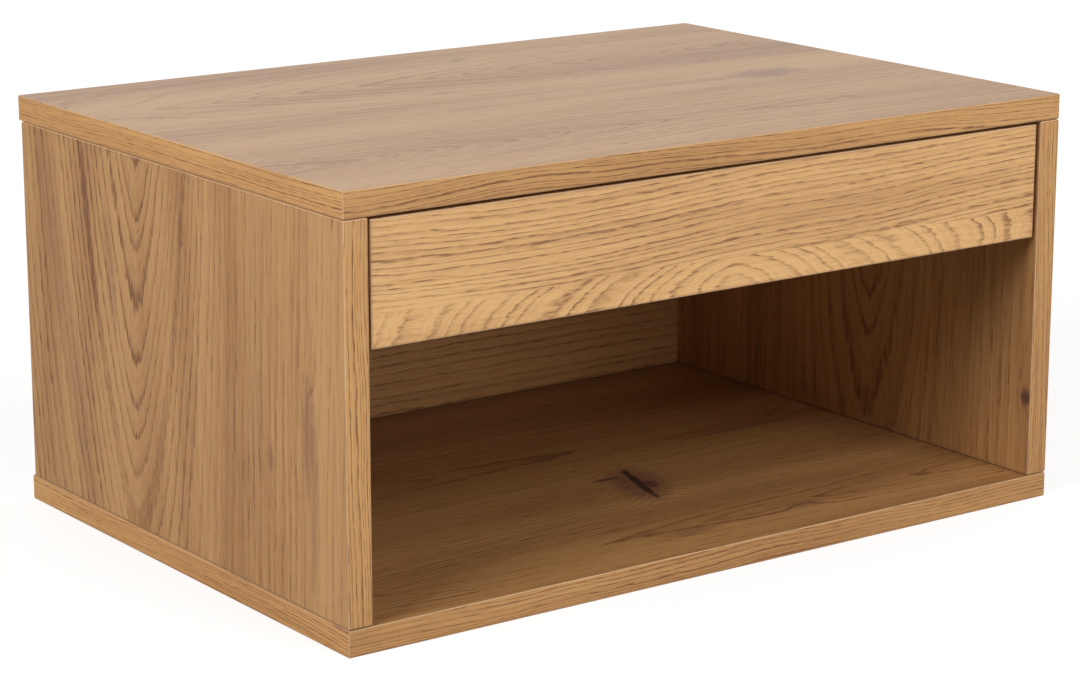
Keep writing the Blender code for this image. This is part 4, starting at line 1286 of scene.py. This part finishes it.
def make_cage(node):
    """A channel in its node's box, with a row of balls in each flange."""
    low, high = corners_of(node)
    near, far = sorted((low[0], high[0]), key=abs)
    inward = 1 if near > far else -1
    web = far + inward * CAGE_STRIP / 2
    row = (high - low)[2] / 2 - BALL_RADIUS
    section = np.array([(near, row), (web, row), (web, -row), (near, -row)])
    section = section + np.array([0.0, SLIDE_MIDDLE])
    points, faces = rolled_channel(section, CAGE_STRIP, CAGE_FOLD, (low[1], high[1]))
    ball_x = near - inward * (BALL_RADIUS + CAGE_TO_BALL)
    places = np.linspace(low[1] + BALL_TO_END, high[1] - BALL_TO_END, BALLS_TO_ROW)
    balls = [ball((ball_x, y, SLIDE_MIDDLE + side * row)) for y in places for side in (-1, 1)]
    ball_points, ball_faces = skins(balls)
    shifted = [[corner + len(points) for corner in face] for face in ball_faces]
    return finish_piece(node, "pressed", np.vstack([points, ball_points]), faces + shifted,
                        finishes["cage_steel"])


cages = [make_cage(f"{word}_{place}_ball_cage") for word in ("left", "right")
         for place in ("outer", "inner")]
print(len(cages), "ball cages,", sum(len(cage.data.polygons) for cage in cages), "faces")

# %% [markdown]
# The hanger plates and the cam bolts keep their CAD shapes, which are already right. They are
# tumbled in the plating barrel, which softens their edges: a Weld joins the loose triangles,
# and a Bevel eases the edges.

# %% Plates and bolts
PLATE_EASE = 0.00025
BOLT_EASE = 0.0002
WELD_REACH = 0.000002


def dress(node, material, ease):
    """Give a CAD node its metal, and ease its sharp edges with live modifiers."""
    paint(node, material)
    weld = nodes[node].modifiers.new("weld", "WELD")
    weld.merge_threshold = WELD_REACH
    bevel = nodes[node].modifiers.new("ease", "BEVEL")
    bevel.width = ease
    bevel.segments = 2
    bevel.limit_method = "ANGLE"
    bevel.angle_limit = math.radians(40)


for word in ("left", "right"):
    dress(f"hanger_plate_{word}", finishes["zinc_plate"], PLATE_EASE)
    dress(f"cam_bolt_{word}", finishes["screw_zinc"], BOLT_EASE)
print("plates and bolts dressed")

# %% [markdown]
# The studio: a pale floor and six wide soft lights. The key stands high in front, with two
# low ones under it that reach into the niche. A strong one at the left lights the side board,
# and weak ones at the right and behind keep the other sides readable. Those two leave no
# reflection, or the top board would glare. The surroundings are white to the camera and in
# reflections, which puts the pale sheen on the top board, and dim as a source of light, so
# that the niche keeps its shade. The floor glows a little to the camera alone, so that it
# looks white without lighting the cabinet from below.

# %% Studio
LIGHT_DISTANCE = 3.0
LIGHT_SIZE = 1.5
AIM_HEIGHT = 0.12  # the cabinet's middle
SHADE_LIGHT = 0.03  # strength of the surroundings as a source of light
FLOOR_HALF = 9.0
FLOOR_GREY = (0.35, 0.35, 0.35, 1.0)
NEAR_GLOW = 0.72
FAR_GLOW = 1.0  # so that the far floor runs into the backdrop without a line
WHITE = (1.0, 1.0, 1.0, 1.0)


def area_light(name, azimuth, elevation, watts, glossy=True):
    """A square soft light that looks at the cabinet's middle. Azimuth 0 is in front, 90 right."""
    light = bpy.data.lights.new(name, "AREA")
    light.shape = "SQUARE"
    light.size = LIGHT_SIZE
    light.energy = watts
    lamp = bpy.data.objects.new(name, light)
    turn, tilt = math.radians(azimuth), math.radians(elevation)
    lamp.location = (
        LIGHT_DISTANCE * math.sin(turn) * math.cos(tilt),
        -LIGHT_DISTANCE * math.cos(turn) * math.cos(tilt),
        AIM_HEIGHT + LIGHT_DISTANCE * math.sin(tilt),
    )
    lamp.rotation_euler = (math.pi / 2 - tilt, 0, turn)
    lamp.visible_glossy = glossy
    bpy.context.scene.collection.objects.link(lamp)


area_light("key light", 8, 42, 32)
area_light("low front light", 4, 6, 9)
area_light("front right light", 30, 15, 12)
area_light("left light", -78, 30, 64)
area_light("right light", 105, 20, 32, glossy=False)
area_light("rear light", 170, 20, 22, glossy=False)

world = bpy.data.worlds.new("studio")
world.use_nodes = True
bpy.context.scene.world = world
tree = world.node_tree
background = tree.nodes["Background"]
path = tree.nodes.new("ShaderNodeLightPath")
seen = maths(tree, "MAXIMUM", path.outputs["Is Camera Ray"], path.outputs["Is Glossy Ray"])
background.inputs["Color"].default_value = WHITE
tree.links.new(rise(tree, seen, 0.0, 1.0, SHADE_LIGHT, 1.0), background.inputs["Strength"])

floor_mesh = bpy.data.meshes.new("floor")
corners = [(x * FLOOR_HALF, y * FLOOR_HALF, 0.0) for x, y in ((-1, -1), (1, -1), (1, 1), (-1, 1))]
floor_mesh.from_pydata(corners, [], [(0, 1, 2, 3)])
floor = bpy.data.objects.new("floor", floor_mesh)
bpy.context.scene.collection.objects.link(floor)
material, tree, shader = new_material("pale floor")
shader.inputs["Base Color"].default_value = FLOOR_GREY
shader.inputs["Roughness"].default_value = 0.9
shader.inputs["Emission Color"].default_value = WHITE
distance = vector_maths(tree, "LENGTH", object_point(tree))
glow = rise(tree, distance, 2.0, 6.0, NEAR_GLOW, FAR_GLOW)
path = tree.nodes.new("ShaderNodeLightPath")
glow = maths(tree, "MULTIPLY", path.outputs["Is Camera Ray"], glow)
tree.links.new(glow, shader.inputs["Emission Strength"])
floor_mesh.materials.append(material)
print("studio ready")
